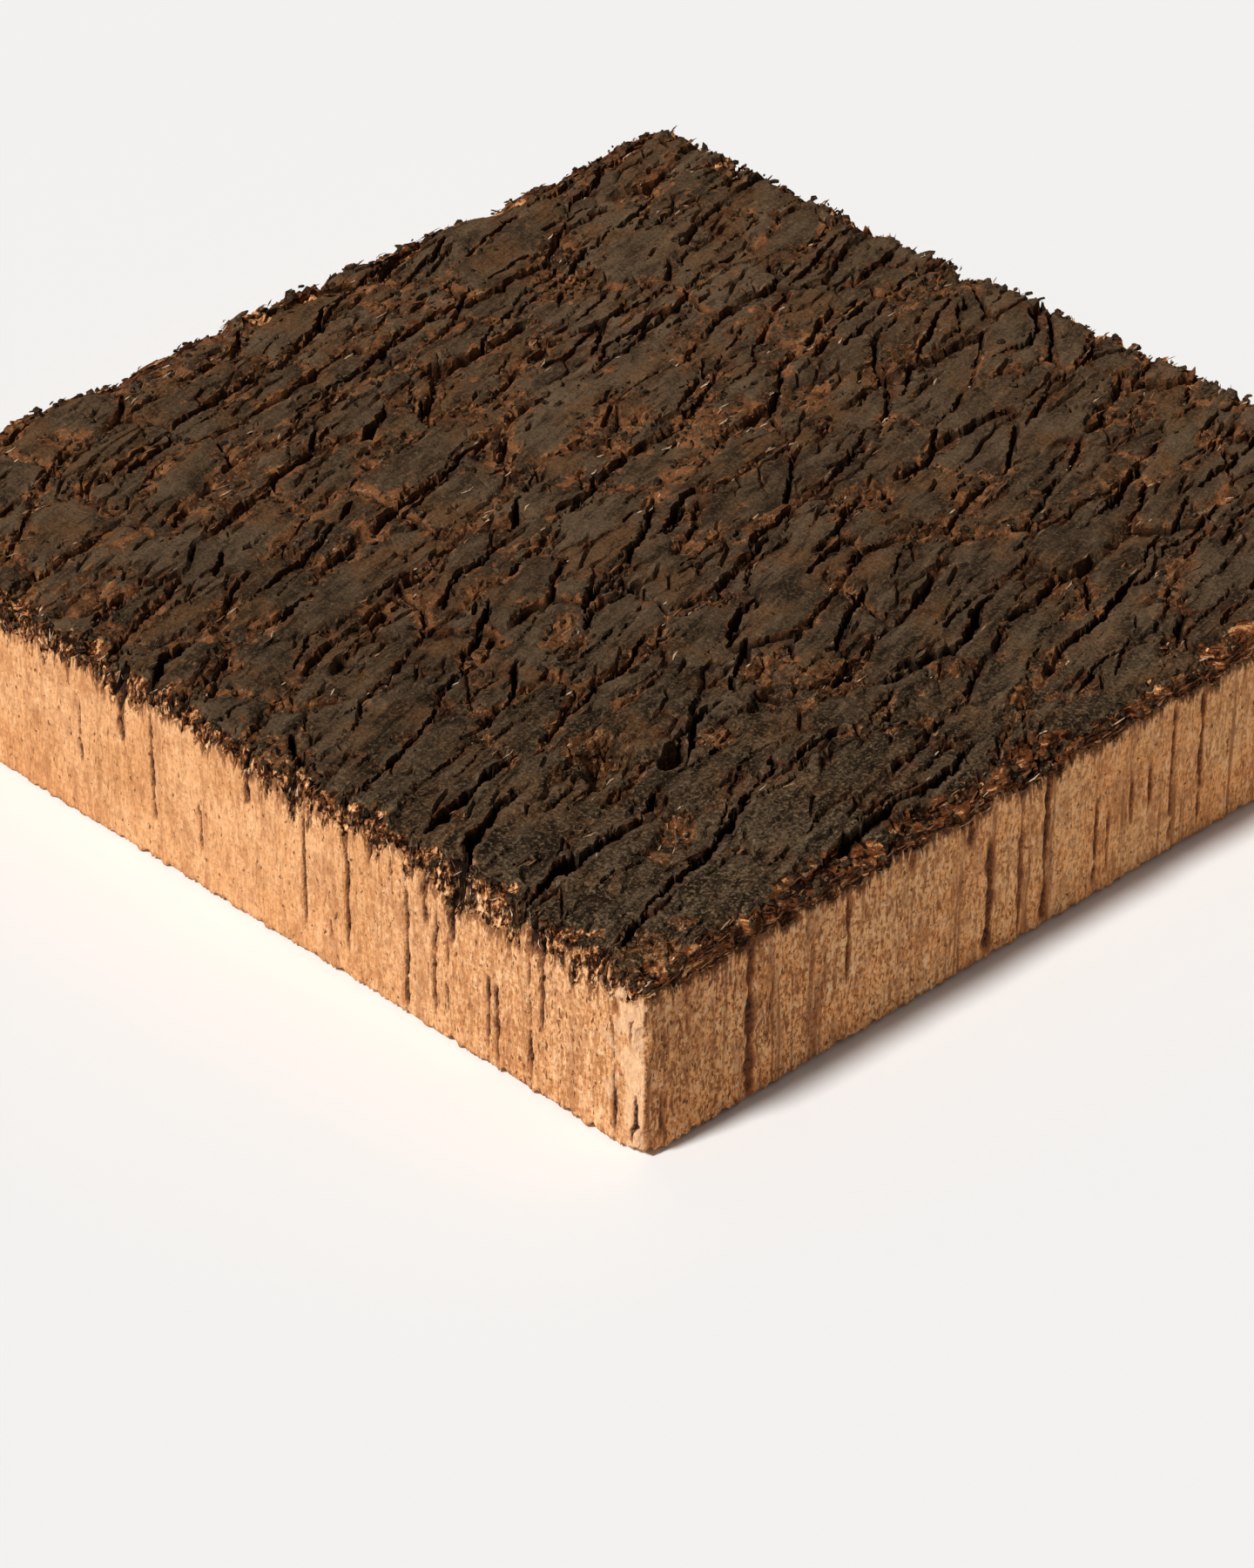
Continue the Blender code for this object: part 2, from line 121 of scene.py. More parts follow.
# Fissures listed near the -X, -Y corner: width, depth and route
FISSURES = (
    (2.2, 7.0, ((-101, -49), (-92, -45.5), (-80, -43), (-69, -41))),
    (1.6, 4.5, ((-66, -41), (-60, -39.5), (-50, -38), (-41, -34.5), (-30, -30))),
    (2.8, 9.0, ((-101, -60), (-95, -57), (-90, -53), (-83, -50), (-78, -49))),
    (2.0, 6.5, ((-101, -33), (-92, -31), (-81, -26.5), (-67, -20.5), (-59, -15), (-51, -10), (-42, -5))),
    (1.4, 3.5, ((-50, 0.5), (-44, 4), (-37, 6.5), (-25, 9))),
    (2.8, 8.0, ((-101, -73.5), (-93, -71), (-80, -69), (-70, -68), (-62, -64.5))),
    (2.6, 7.5, ((-96, -91), (-89, -88), (-79, -84), (-69, -82), (-60, -78), (-50, -75), (-43, -72))),
    (2.4, 7.0, ((-63, -97), (-57, -96), (-46, -94.5), (-34, -92), (-25, -92.5), (-17, -89))),
    (1.6, 4.5, ((-71, -31.5), (-62, -29), (-56, -25), (-50, -20))),
    (1.8, 5.0, ((-36, -21), (-30, -16), (-25, -13), (-19, -12))),
    (3.2, 6.5, ((-21, -43), (-27, -47), (-30.5, -51), (-33, -52.5))),
    (2.0, 6.0, ((-33, -52.5), (-44, -54), (-48, -58), (-57, -61))),
    (2.2, 5.0, ((-31, -55), (-25, -59), (-19, -61.5), (-12, -60))),
    (1.6, 4.5, ((-13, -56), (-7, -51.5), (0, -47.5), (7, -45))),
    (3.0, 7.5, ((-17, -66.5), (-6, -69), (6, -67.5), (12, -64), (19, -60.5))),
    (1.8, 4.0, ((-23, -40), (-18, -37), (-9, -34.5))),
    (2.2, 4.5, ((0, -36), (6, -34), (17, -32))),
    (1.8, 4.0, ((24, -31), (28, -28.5), (31.5, -25), (31, -22))),
    (2.0, 4.0, ((0, -22.5), (8, -20), (16, -18))),
    (2.2, 5.5, ((-12, 7), (-4, 10), (1, 13.5), (8, 14.5))),
    (1.6, 4.0, ((-24, 10), (-19, 13), (-14, 17.5), (-8, 20))),
    (2.2, 6.0, ((-71, 14.5), (-65, 17), (-60, 19.5))),
    (1.4, 3.5, ((-84, 14), (-77, 16), (-71, 14.5))),
    (1.6, 4.0, ((-70, 23.5), (-62, 26), (-56, 28), (-47, 30), (-41, 33), (-36, 36))),
    (2.2, 6.0, ((-93, 36.5), (-87, 38.5), (-81, 39), (-74, 39.5))),
    (1.6, 3.5, ((-68, 34), (-64, 37.5), (-61, 40))),
    (2.4, 6.0, ((-72, 68.5), (-66, 71), (-60, 69), (-50, 71), (-44, 73))),
    (1.5, 3.5, ((-46, 48.5), (-37, 52), (-28, 54.5), (-21, 56.5))),
    (2.0, 5.0, ((-22, 49.5), (-16, 52), (-9, 56.5))),
    (1.6, 3.5, ((-33, 27.5), (-26, 29), (-19, 31))),
    (2.4, 8.0, ((-101, 13), (-95, 17), (-90, 19.5), (-84, 20.5))),
    (2.4, 8.0, ((-101, -22), (-97, -18), (-93, -13.5), (-89, -10))),
    (2.4, 9.0, ((-101, 20.5), (-97, 23), (-93, 27))),
    (1.6, 4.0, ((-10, -9.5), (-1, -7), (6, -3), (12, -1))),
    (1.6, 4.0, ((-41, -74.5), (-37, -73), (-28, -71))),
    (1.5, 3.5, ((7, -90), (13, -88), (19, -86), (27, -87.5))),
    (1.6, 4.0, ((-64, 4), (-57, 6), (-50, 9), (-44, 12))),
    (1.8, 5.0, ((20, -79), (31, -76), (42, -73), (55, -66))),
    (1.6, 4.0, ((32, -53), (41, -51), (50, -50))),
    (1.8, 4.5, ((48, -57), (56, -55), (66, -50))),
)
# Thin cracks given one by one: width, depth and route
THIN_CRACKS = (
    (0.9, 2.5, ((-100, -66), (-94, -65), (-88, -66))),
    (0.9, 2.2, ((-40, -60), (-47, -62), (-58, -64))),
    (1.0, 2.5, ((-7.5, -10), (0, -7.5), (4, -5.5))),
    (0.9, 2.2, ((9, -46), (15, -43), (22, -41))),
    (0.9, 2.2, ((-58, -90), (-50, -88), (-40, -86))),
    (0.8, 2.0, ((-88, -78), (-82, -76), (-74, -75))),
    (0.9, 2.2, ((-86, -36), (-78, -34), (-70, -33))),
    (0.9, 2.2, ((-48, -28), (-40, -27), (-33, -24))),
    (0.9, 2.4, ((-30, 2), (-22, 4), (-14, 6))),
    (0.8, 2.0, ((-84, 2), (-76, 4), (-70, 8))),
    (0.9, 2.4, ((-12, -20), (-5, -17), (2, -15))),
    (0.9, 2.2, ((28, -14), (36, -12), (44, -8))),
)
# Fissures that cover the rest of the slab and the smaller cracks between them
LONG_FISSURES = dict(
    seed=11, along=42, across=13, share=0.85, length=(26, 58), sway=0.8, width=(1.1, 2.2), depth=(4.5, 8)
)
SHORT_CRACKS = dict(
    seed=23, along=28, across=9, share=0.55, length=(10, 28), sway=0.5, width=(0.9, 1.5), depth=(1.6, 3.2)
)
HAIR_CRACKS = dict(
    seed=29, along=21, across=6.0, share=0.65, length=(7, 26), sway=0.4, width=(0.5, 1.0), depth=(0.8, 2.0)
)

# Loose bits: how many, how far in from the saw cuts they gather, and how far above the bark they lie
FIBRES = 2400
SIDE_FIBRES = 3200
CHIPS = 3400
GATHER_REACH = 3
BIT_LIFT = 0.05

# Hollows where outer bark has broken away: x, y, half length, half width, depth
HOLLOWS = (
    (-62, -54, 7.5, 5.0, 3.6),
    (-53, -59, 5.0, 2.6, 4.5),
    (-30, -57, 6.0, 2.5, 1.8),
    (-72, -1.5, 4.5, 2.2, 2.2),
    (-92, -68, 4.0, 2.5, 1.2),
    (-7, 31, 6.0, 4.0, 1.4),
    (13, 21, 10.0, 5.0, 1.2),
)

# Patches of rusty inner bark: x, y, half length, half width, strength
RUST_PATCHES = (
    (-48, 54, 8, 4, 0.8),
    (-87, 44, 8, 4, 0.8),
    (-51, 67, 8, 2.5, 0.7),
    (-58, 85, 4, 4, 0.8),
    (-7, 31, 6, 4, 0.9),
    (11, 22, 11, 6, 0.9),
    (27, 12, 9, 6, 0.8),
    (-2, 45, 5, 4, 0.8),
    (25, -24, 7, 4, 0.9),
    (6, -19, 7, 2.5, 0.7),
    (33, -39, 9, 4, 0.7),
    (-23, -50, 6, 3.5, 1.0),
    (-61, -48, 5, 4, 1.0),
    (-53, -14, 6, 3, 0.8),
    (-39, -18, 6, 2.5, 1.0),
    (-69, -74, 7, 3.5, 0.9),
    (-92, -94, 7, 4, 0.9),
    (-15, -30, 3, 2.5, 1.0),
    (-5, -72, 6, 2.5, 0.7),
    (27, -74, 5, 2.5, 0.6),
    (82, -38, 4, 3, 0.9),
    (-17, -61, 6, 2.5, 0.9),
    (-45, -60, 6, 3, 0.7),
    (-96, -12, 5, 6, 0.8),
    (-94, 32, 6, 5, 0.7),
    (-40, 62, 9, 4, 0.5),
)
SEEDED_PATCHES = 70
# Slant of the hollows and patches
OVAL_TURN = 0.3

# Slits in the sawn sides: distance from the corner, lower end, upper end, width and darkness
END_SLITS = (
    (2.0, 2, 12, 1.3, 1.0),
    (2.3, 20, 26, 1.0, 0.6),
    (6.7, 2, 11, 0.9, 0.9),
    (6.7, 0, 28, 0.6, 0.5),
    (10.8, 29, 42, 1.6, 0.9),
    (22.5, 12, 35, 1.0, 0.7),
    (24.4, 26, 42, 2.6, 1.0),
    (25.4, -2, 26, 0.7, 0.5),
    (25.4, 4, 12, 1.0, 1.0),
    (31.2, 29, 42, 2.0, 1.0),
    (32.8, 1, 17, 0.8, 0.8),
    (34.6, 3, 18, 0.8, 0.8),
    (43.0, 19, 42, 2.6, 1.0),
    (46.5, 9, 24, 0.6, 0.8),
    (44.0, 5, 21, 0.5, 0.6),
    (47.0, 3, 20, 0.8, 0.7),
    (49.0, 19, 30, 1.2, 0.6),
    (53.4, 1, 25, 0.9, 0.6),
    (57.0, 23, 30, 0.8, 0.6),
    (62.0, 24, 30, 1.3, 0.8),
    (67.3, 5, 29, 0.9, 0.7),
    (71.5, 5, 14, 0.5, 0.4),
    (77.5, 5, 28, 0.9, 0.7),
    (91.0, 22, 42, 2.0, 1.0),
    (103.0, 6, 18, 0.5, 0.4),
    (114.5, 8, 30, 1.0, 0.7),
    (122.0, 20, 42, 2.6, 1.0),
    (133.0, 10, 24, 0.6, 0.5),
)
LONG_SIDE_SLITS = (
    (4.0, 2, 12, 0.8, 0.7),
    (9.3, 18, 30, 0.8, 0.4),
    (23.1, 0, 32, 1.9, 0.9),
    (27.8, 8, 22, 0.5, 0.6),
    (44.6, 11, 30, 0.9, 0.9),
    (59.0, 25, 31, 1.6, 0.8),
    (72.5, 23, 31, 1.8, 1.0),
    (77.2, 1, 24, 1.9, 0.9),
    (84.5, 1, 28, 1.2, 0.6),
    (90.5, 1, 35, 1.5, 1.0),
    (102.5, 2, 20, 0.9, 0.8),
    (105.5, 3, 17, 0.6, 0.6),
    (111.0, 10, 21, 0.8, 0.7),
    (115.5, 11, 21, 1.0, 0.8),
    (121.0, 2, 30, 0.9, 0.7),
    (128.0, 2, 30, 1.1, 0.9),
)

# Relief of the sides: how far in it reaches, how far back the hidden kind is drawn, slit depth, most inset
SIDE_REACH = 3.0
HIDDEN_BACK = 1.1
SLIT_DEPTH = 1.6
INSET_MOST = 2.6
# Least height of the bark above the border, and how far down and in the cork below it is stained
BARK_LEAST = 1.3
STAIN_DROP = 3.0
STAIN_REACH = 4

# Shares of that relief: slits and teeth on the long sides, chipped corners on the ends
LONG_SLIT_SHARE = 0.4
LONG_TEETH_SHARE = 0.45
END_CORNER_SHARE = 0.25
# How far in a long side's own look reaches
LONG_SIDE_REACH = 10

# Height of the border between pale cork and bark: distance from the corner, height
END_BORDER = (
    (0, 31),
    (5, 30.5),
    (10, 28),
    (20, 29),
    (30, 28),
    (37, 27),
    (40, 25.5),
    (44, 24.5),
    (47, 29.5),
    (50, 30.5),
    (60, 30),
    (70, 29),
    (78, 27),
    (83, 28.5),
    (90, 29),
    (110, 30.5),
    (200, 30),
)
LONG_SIDE_BORDER = (
    (0, 30.5),
    (10, 29.8),
    (30, 30),
    (58, 30.5),
    (70, 30.5),
    (74, 29),
    (78, 31.5),
    (95, 30),
    (200, 30.5),
)
BACK_BORDER = ((0, 30.5), (60, 31), (110, 29.5), (160, 31), (200, 30.5))

# Underside: a flat square that the slab rests on, and the rougher edge round it
FLAT_HALF = 93.0
EDGE_LIFT = (0.45, 1.3)
EDGE_NIBBLE = 1.0
CHIP_LIFT = 0.9
CHIP_REACH = 8.0
EDGE_WANDER_SIZE = 35.0

# Camera, fitted to the photograph
CAMERA_PLACE = (-0.604909, -0.61454, 0.541912)
CAMERA_BEARING = -44.2588
CAMERA_ELEVATION = 33.2554
CAMERA_LENS = 135.376

# Room: half size of the floor in metres, light of the walls, and the sun
FLOOR_HALF = 4.0
FLOOR_SHADE_SIZE = 250
ROOM_LIGHT = 0.145
SUN_TOWARD = (-0.68, 0.10, 0.73)
SUN_STRENGTH = 3.4
SUN_ANGLE = 9
SUN_COLOUR = (1.0, 0.985, 0.96)


# Noise


def lattice(column, row, seed):
    """A repeatable number from 0 to 1 for each cell of a lattice."""
    n = column.astype(np.int64) * 374761393 + row.astype(np.int64) * 668265263 + seed * 974634777
    n = n & 0xFFFFFFFF
    n = ((n ^ (n >> 13)) * 1274126177) & 0xFFFFFFFF
    n = ((n ^ (n >> 16)) * 1911520717) & 0xFFFFFFFF
    return (n ^ (n >> 15)) / 4294967296.0


def noise(x, y, seed):
    """Smooth noise from about -1 to 1, with features one unit across."""
    column, row = np.floor(x), np.floor(y)
    fx, fy = x - column, y - row

    def corner(dx, dy):
        angle = 2 * math.pi * lattice(column + dx, row + dy, seed)
        return np.cos(angle) * (fx - dx) + np.sin(angle) * (fy - dy)

    ease_x = fx**3 * (fx * (6 * fx - 15) + 10)
    ease_y = fy**3 * (fy * (6 * fy - 15) + 10)
    near = corner(0, 0) * (1 - ease_x) + corner(1, 0) * ease_x
    far = corner(0, 1) * (1 - ease_x) + corner(1, 1) * ease_x
    return 1.5 * (near * (1 - ease_y) + far * ease_y)


def fractal(x, y, size, octaves, seed):
    """Noise summed over octaves, each half the size and strength of the one before."""
    total = np.zeros(np.shape(x))
    for octave in range(octaves):
        finer = 2**octave
        total = total + noise(x * finer / size, y * finer / size, seed + 17 * octave) / finer
    return total


def ramp(low, high, value):
    """Eased step from 0 at low to 1 at high."""
    t = np.clip((value - low) / (high - low), 0, 1)
    return t * t * (3 - 2 * t)


# Bark relief


def grain_coordinates(x, y):
    """Distance along and across the slanting grain."""
    along = x + GRAIN_SLOPE * y
    across = y - GRAIN_SLOPE * x + 4.0 * fractal(x, y, 70, 2, 3)
    return along, across


def corner_distance(x, y):
    """Distance from the near corner along X and Y together."""
    return x + y + 2 * HALF


def nearest_cells(a, c, seed):
    """The two nearest points of a jittered lattice: place and cell of each, and squared distances."""
    cell_a, cell_c = np.floor(a), np.floor(c)
    best = np.full(a.shape, 1e9)
    second = np.full(a.shape, 1e9)
    own = [np.zeros(a.shape) for _ in range(4)]
    other = [np.zeros(a.shape) for _ in range(4)]
    for step_c in (-1, 0, 1):
        for step_a in (-2, -1, 0, 1, 2):
            ka, kc = cell_a + step_a, cell_c + step_c
            point_a = ka + 0.5 * (kc % 2) + 0.5 + 0.85 * (lattice(ka, kc, seed) - 0.5)
            point_c = kc + 0.5 + 0.8 * (lattice(ka, kc, seed + 1) - 0.5)
            distance = (point_a - a) ** 2 + (point_c - c) ** 2
            nearest = distance < best
            runner_up = ~nearest & (distance < second)
            for k, value in enumerate((point_a, point_c, ka, kc)):
                other[k] = np.where(nearest, own[k], np.where(runner_up, value, other[k]))
                own[k] = np.where(nearest, value, own[k])
            second = np.where(nearest, best, np.where(runner_up, distance, second))
            best = np.where(nearest, distance, best)
    return own, other, best, second


def plates(along, across, long, wide, rise, tilt, blend, seed):
    """Plates at their own height and tilt, blended where they meet; their tones; distance to a border."""
    own, other, best, second = nearest_cells(along / long, across / wide, seed)
    slope = np.hypot((own[0] - other[0]) / long, (own[1] - other[1]) / wide)
    border = 0.5 * (second - best) / np.maximum(slope, 1e-6)

    def height(point_a, point_c, ka, kc):
        lift = rise * (2 * lattice(ka, kc, seed + 2) - 1)
        tilt_a = 0.4 * tilt * (2 * lattice(ka, kc, seed + 3) - 1)
        tilt_c = tilt * (2 * lattice(ka, kc, seed + 4) - 1)
        return lift + tilt_a * (along - point_a * long) + tilt_c * (across - point_c * wide)

    share = 0.5 * (1 - ramp(0, blend, border))
    tone = lattice(own[2], own[3], seed + 5)
    return height(*own) * (1 - share) + height(*other) * share, tone, border


def hand_placed_area(x, y):
    """Whether the listed fissures already cover this point."""
    return y < 46 - x and y < 160 + x and y > x - 125


def wandering_route(chance, x, y, length, sway):
    """A route of the given length that wanders along the grain, centred on x, y."""
    count = max(3, round(length / 4) + 1)
    angle = math.atan(GRAIN_SLOPE) + chance.gauss(0, 0.1)
    route = []
    drift = 0.0
    for k in range(count):
        t = (k / (count - 1) - 0.5) * length
        drift += chance.gauss(0, sway)
        route.append(
            (
                x + t * math.cos(angle) - drift * math.sin(angle),
                y + t * math.sin(angle) + drift * math.cos(angle),
            )
        )
    return tuple(route)


def grown_fissures(seed, along, across, share, length, sway, width, depth, everywhere=False):
    """Fissures on a loose brick pattern, kept out of the listed fissures' area unless everywhere."""
    chance = random.Random(seed)
    made = []
    reach = 1.3 * HALF
    for row in range(int(2 * reach / across) + 1):
        for column in range(int(2 * reach / along) + 1):
            u = -reach + (column + 0.5 * (row % 2) + chance.uniform(-0.35, 0.35)) * along
            v = -reach + (row + chance.uniform(-0.35, 0.35)) * across
            x, y = u - GRAIN_SLOPE * v, v + GRAIN_SLOPE * u
            route = wandering_route(chance, x, y, chance.uniform(*length), sway)
            fissure = (chance.uniform(*width), chance.uniform(*depth), route)
            outside = max(abs(x), abs(y)) > HALF + 8
            placed = hand_placed_area(x, y) and not everywhere
            if chance.random() < share and not outside and not placed:
                made.append(fissure)
    return made


def rounded(route):
    """The route with its corners cut twice, which rounds it."""
    line = np.array(route, float)
    for _ in range(2):
        early = 0.75 * line[:-1] + 0.25 * line[1:]
        late = 0.25 * line[:-1] + 0.75 * line[1:]
        middle = np.stack([early, late], 1).reshape(-1, 2)
        line = np.concatenate([line[:1], middle, line[-1:]])
    return line


def along_route(px, py, line):
    """Distance of each point to a route, how far along it lies, on which side, and the route's length."""
    best = np.full(px.shape, 1e9)
    place = np.zeros(px.shape)
    side = np.zeros(px.shape)
    done = 0.0
    for (ax, ay), (bx, by) in zip(line[:-1], line[1:]):
        size = math.hypot(bx - ax, by - ay)
        dx, dy = (bx - ax) / size, (by - ay) / size
        t = np.clip((px - ax) * dx + (py - ay) * dy, 0, size)
        distance = np.hypot(px - ax - t * dx, py - ay - t * dy)
        nearer = distance < best
        best = np.where(nearer, distance, best)
        place = np.where(nearer, done + t, place)
        side = np.where(nearer, np.sign((px - ax) * dy - (py - ay) * dx), side)
        done += size
    return best, place, side, done


def broken_offsets(x, y):
    """Small shifts, constant within each little chip, which give a crack its broken edges."""
    along, across = grain_coordinates(x, y)
    own, _, _, _ = nearest_cells(along / JAG_LONG, across / JAG_WIDE, 43)
    shift_x = JAG * (2 * lattice(own[2], own[3], 44) - 1)
    shift_y = JAG * (2 * lattice(own[2], own[3], 45) - 1)
    fray_x = FRAY * fractal(x, y, FRAY_SIZE, 2, 48)
    fray_y = FRAY * fractal(x, y, FRAY_SIZE, 2, 49)
    return shift_x + fray_x, shift_y + fray_y


def cut_fissures(x, y, fissures):
    """What the fissures cut and their shoulders take off a regular grid, and how deep the cut is."""
    depth, shoulder, scarp = np.zeros(x.shape), np.zeros(x.shape), np.zeros(x.shape)
    jag_x, jag_y = broken_offsets(x, y)
    px = x + WARP * noise(x / WARP_SIZE, y / WARP_SIZE, 31) + jag_x
    py = y + WARP * noise(x / WARP_SIZE, y / WARP_SIZE, 37) + jag_y
    for number, (width, deep, route) in enumerate(fissures):
        line = rounded(route)
        first = np.floor((line.min(0) - FISSURE_REACH + HALF) / GRID).astype(int).clip(0, None)
        last = np.ceil((line.max(0) + FISSURE_REACH + HALF) / GRID).astype(int).clip(0, None)
        window = (slice(first[0], last[0]), slice(first[1], last[1]))
        if x[window].size == 0:
            continue
        near, place, side, length = along_route(px[window], py[window], line)
        ends = np.clip(np.minimum(place, length - place) / (TAPER * length), 0, 1)
        swell = np.clip(0.9 + 0.85 * fractal(place, 7.7 * number, 9, 3, 91), 0.15, 1.7)
        half = OPENING * width * np.sqrt(ends * (2 - ends) + 0.02) * swell
        cut = deep * (0.35 + 0.65 * ends) * (1 - np.clip((near / half - SHEER) / (1.1 - SHEER), 0, 1))
        depth[window] = np.maximum(depth[window], cut)
        worn = SHOULDER_DROP * ends * np.exp(-((near / SHOULDER_REACH) ** 2))
        shoulder[window] = np.maximum(shoulder[window], worn)
        lean = 2 * ((number * 0.618) % 1) - 1
        scarp[window] += SCARP * lean * side * ends * np.exp(-near / SCARP_REACH) * ramp(0.1, 1.0, near)
    return depth + shoulder - scarp, depth


def ragged_oval(x, y, centre_x, centre_y, long, wide, ragged):
    """1 inside a slanting oval with a ragged border, falling to 0 outside."""
    c, s = math.cos(OVAL_TURN), math.sin(OVAL_TURN)
    a = (x - centre_x) * c + (y - centre_y) * s
    b = (y - centre_y) * c - (x - centre_x) * s
    return 1 - ramp(0.55, 1.0, np.hypot(a / long, b / wide) + ragged)


def broken_hollows(x, y):
    """Depth of the hollows, with ragged borders."""
    deepest = np.zeros(x.shape)
    ragged = 0.28 * fractal(x, y, 4, 2, 61)
    for centre_x, centre_y, long, wide, deep in HOLLOWS:
        deepest = np.maximum(deepest, deep * ragged_oval(x, y, centre_x, centre_y, long, wide, ragged))
    return deepest


def rust_strength(x, y):
    """Where rusty inner bark shows: the listed patches, and seeded ones past them."""
    strength = np.zeros(x.shape)
    ragged = 0.45 * fractal(x, y, 5, 3, 65)
    chance = random.Random(67)
    patches = list(RUST_PATCHES)
    for _ in range(SEEDED_PATCHES):
        spot = (chance.uniform(-HALF, HALF), chance.uniform(-HALF, HALF))
        patch = (*spot, chance.uniform(3, 9), chance.uniform(2, 4.5), chance.uniform(0.4, 0.95))
        if not hand_placed_area(*spot):
            patches.append(patch)
    for centre_x, centre_y, long, wide, strong in patches:
        oval = ragged_oval(x, y, centre_x, centre_y, 1.25 * long, 1.25 * wide, ragged)
        strength = np.maximum(strength, strong * oval)
    return strength


def crumbly_strips(x, y, gap):
    """Strips of crumbly inner bark that follow the plates' borders, widest toward the -X, +Y corner."""
    left = ramp(-60, 140, y - x)
    patchy = ramp(-0.25, 0.40, fractal(x, y, 26, 3, 171) + 0.5 * left)
    patchy = patchy * ramp(*STRIPS_GROW, corner_distance(x, y))
    width = 0.8 + 3.2 * patchy
    strip = 1 - ramp(0.1, 1.0, (gap + 0.9 * fractal(x, y, 3.5, 3, 173)) / width)
    return 0.85 * strip * patchy


def edge_coordinates(x, y):
    """Distance in from the nearest sawn side, and place along that side."""
    from_x, from_y = HALF - np.abs(x), HALF - np.abs(y)
    along = np.where(from_x < from_y, y + 300 * np.sign(x), x + 700 * np.sign(y))
    return np.minimum(from_x, from_y), along


def crumbled_edge(x, y):
    """How far the bark has crumbled down beside the saw cuts, or lost layers along the long sides."""
    near, along = edge_coordinates(x, y)
    coarse = fractal(along, near, EDGE_RAG_SIZE, 2, 51)
    fine = fractal(along, 0.5 * near, 0.25 * EDGE_RAG_SIZE, 2, 52)
    ragged = np.clip(0.42 + 0.95 * coarse + 0.35 * fine, 0, 1.7)
    tufts = 0.9 * fractal(along, 0.7 * near, 1.8, 3, 53) * (1 - ramp(0, 6, near))
    crumbled = (0.5 + 1.7 * ragged) * (1 - ramp(0, 1.5 + 5.0 * ragged, near)) + tufts
    inward = HALF - np.abs(y)
    bared = np.clip(0.45 + 0.8 * fractal(x, 0.3 * y, 24, 2, 55), 0, 1.1)
    reach = STRIP_REACH * bared + 0.5 + 1.2 * fractal(x, 2.5 * y, 7, 3, 56)
    layers = STRIP_DROP * bared * (1 - ramp(0, 1, inward / np.maximum(reach, 0.5)))
    torn = 0.5 * fractal(x / 6, inward, 1.7, 3, 57) * np.clip(layers, 0, 1)
    return np.maximum(crumbled, layers + torn)


def fine_relief(x, y, rust):
    """Flakes, chips and grit, too fine for the solid."""
    along, across = grain_coordinates(x, y)
    bend = 0.5 * fractal(x, y, 3, 2, 131)
    flakes, tone, gap = plates(
        along + 2 * bend, across + bend, FLAKE_LONG, FLAKE_WIDE, FLAKE_LIFT, 0.06, 0.2, 141
    )
    chips, _, _ = plates(along + bend, across - bend, CHIP_LONG, CHIP_WIDE, CHIP_RISE, 0.06, 0.2, 147)
    patchy = ramp(0.0, 0.6, fractal(x, y, 26, 2, 143))
    seams = 0.9 * (1 - ramp(0.1, 0.45, gap)) * ramp(0.0, 0.4, fractal(x, y, 14, 3, 145))
    rough = np.maximum(patchy, rust)
    grit = 0.07 * noise(x / 1.6, y / 1.6, 151) + 0.09 * noise(x / 0.85, y / 0.85, 153)
    streak = 0.10 * noise(along / 6, across / 1.3, 157)
    torn = rust * (1.0 * fractal(along / 2, across, 2.4, 3, 159) - 0.8)
    calm = 1 - CALM_SHARE * ramp(*DETAIL_CALMS, corner_distance(x, y))
    relief = flakes * (0.3 + 0.8 * rough) + chips * (0.3 + 1.1 * rough) + grit + streak + torn
    return calm * relief - seams, tone, seams


def blurred(values, radius):
    """The grid smoothed three times by a box of this many cells each way."""
    for _ in range(3):
        for axis in (0, 1):
            margins = [(0, 0), (0, 0)]
            margins[axis] = (radius + 1, radius)
            padded = np.pad(values, margins, mode="edge")
            summed = np.cumsum(padded, axis)
            size = 2 * radius + 1
            high = np.take(summed, range(size, summed.shape[axis]), axis)
            low = np.take(summed, range(summed.shape[axis] - size), axis)
            values = (high - low) / size
    return values


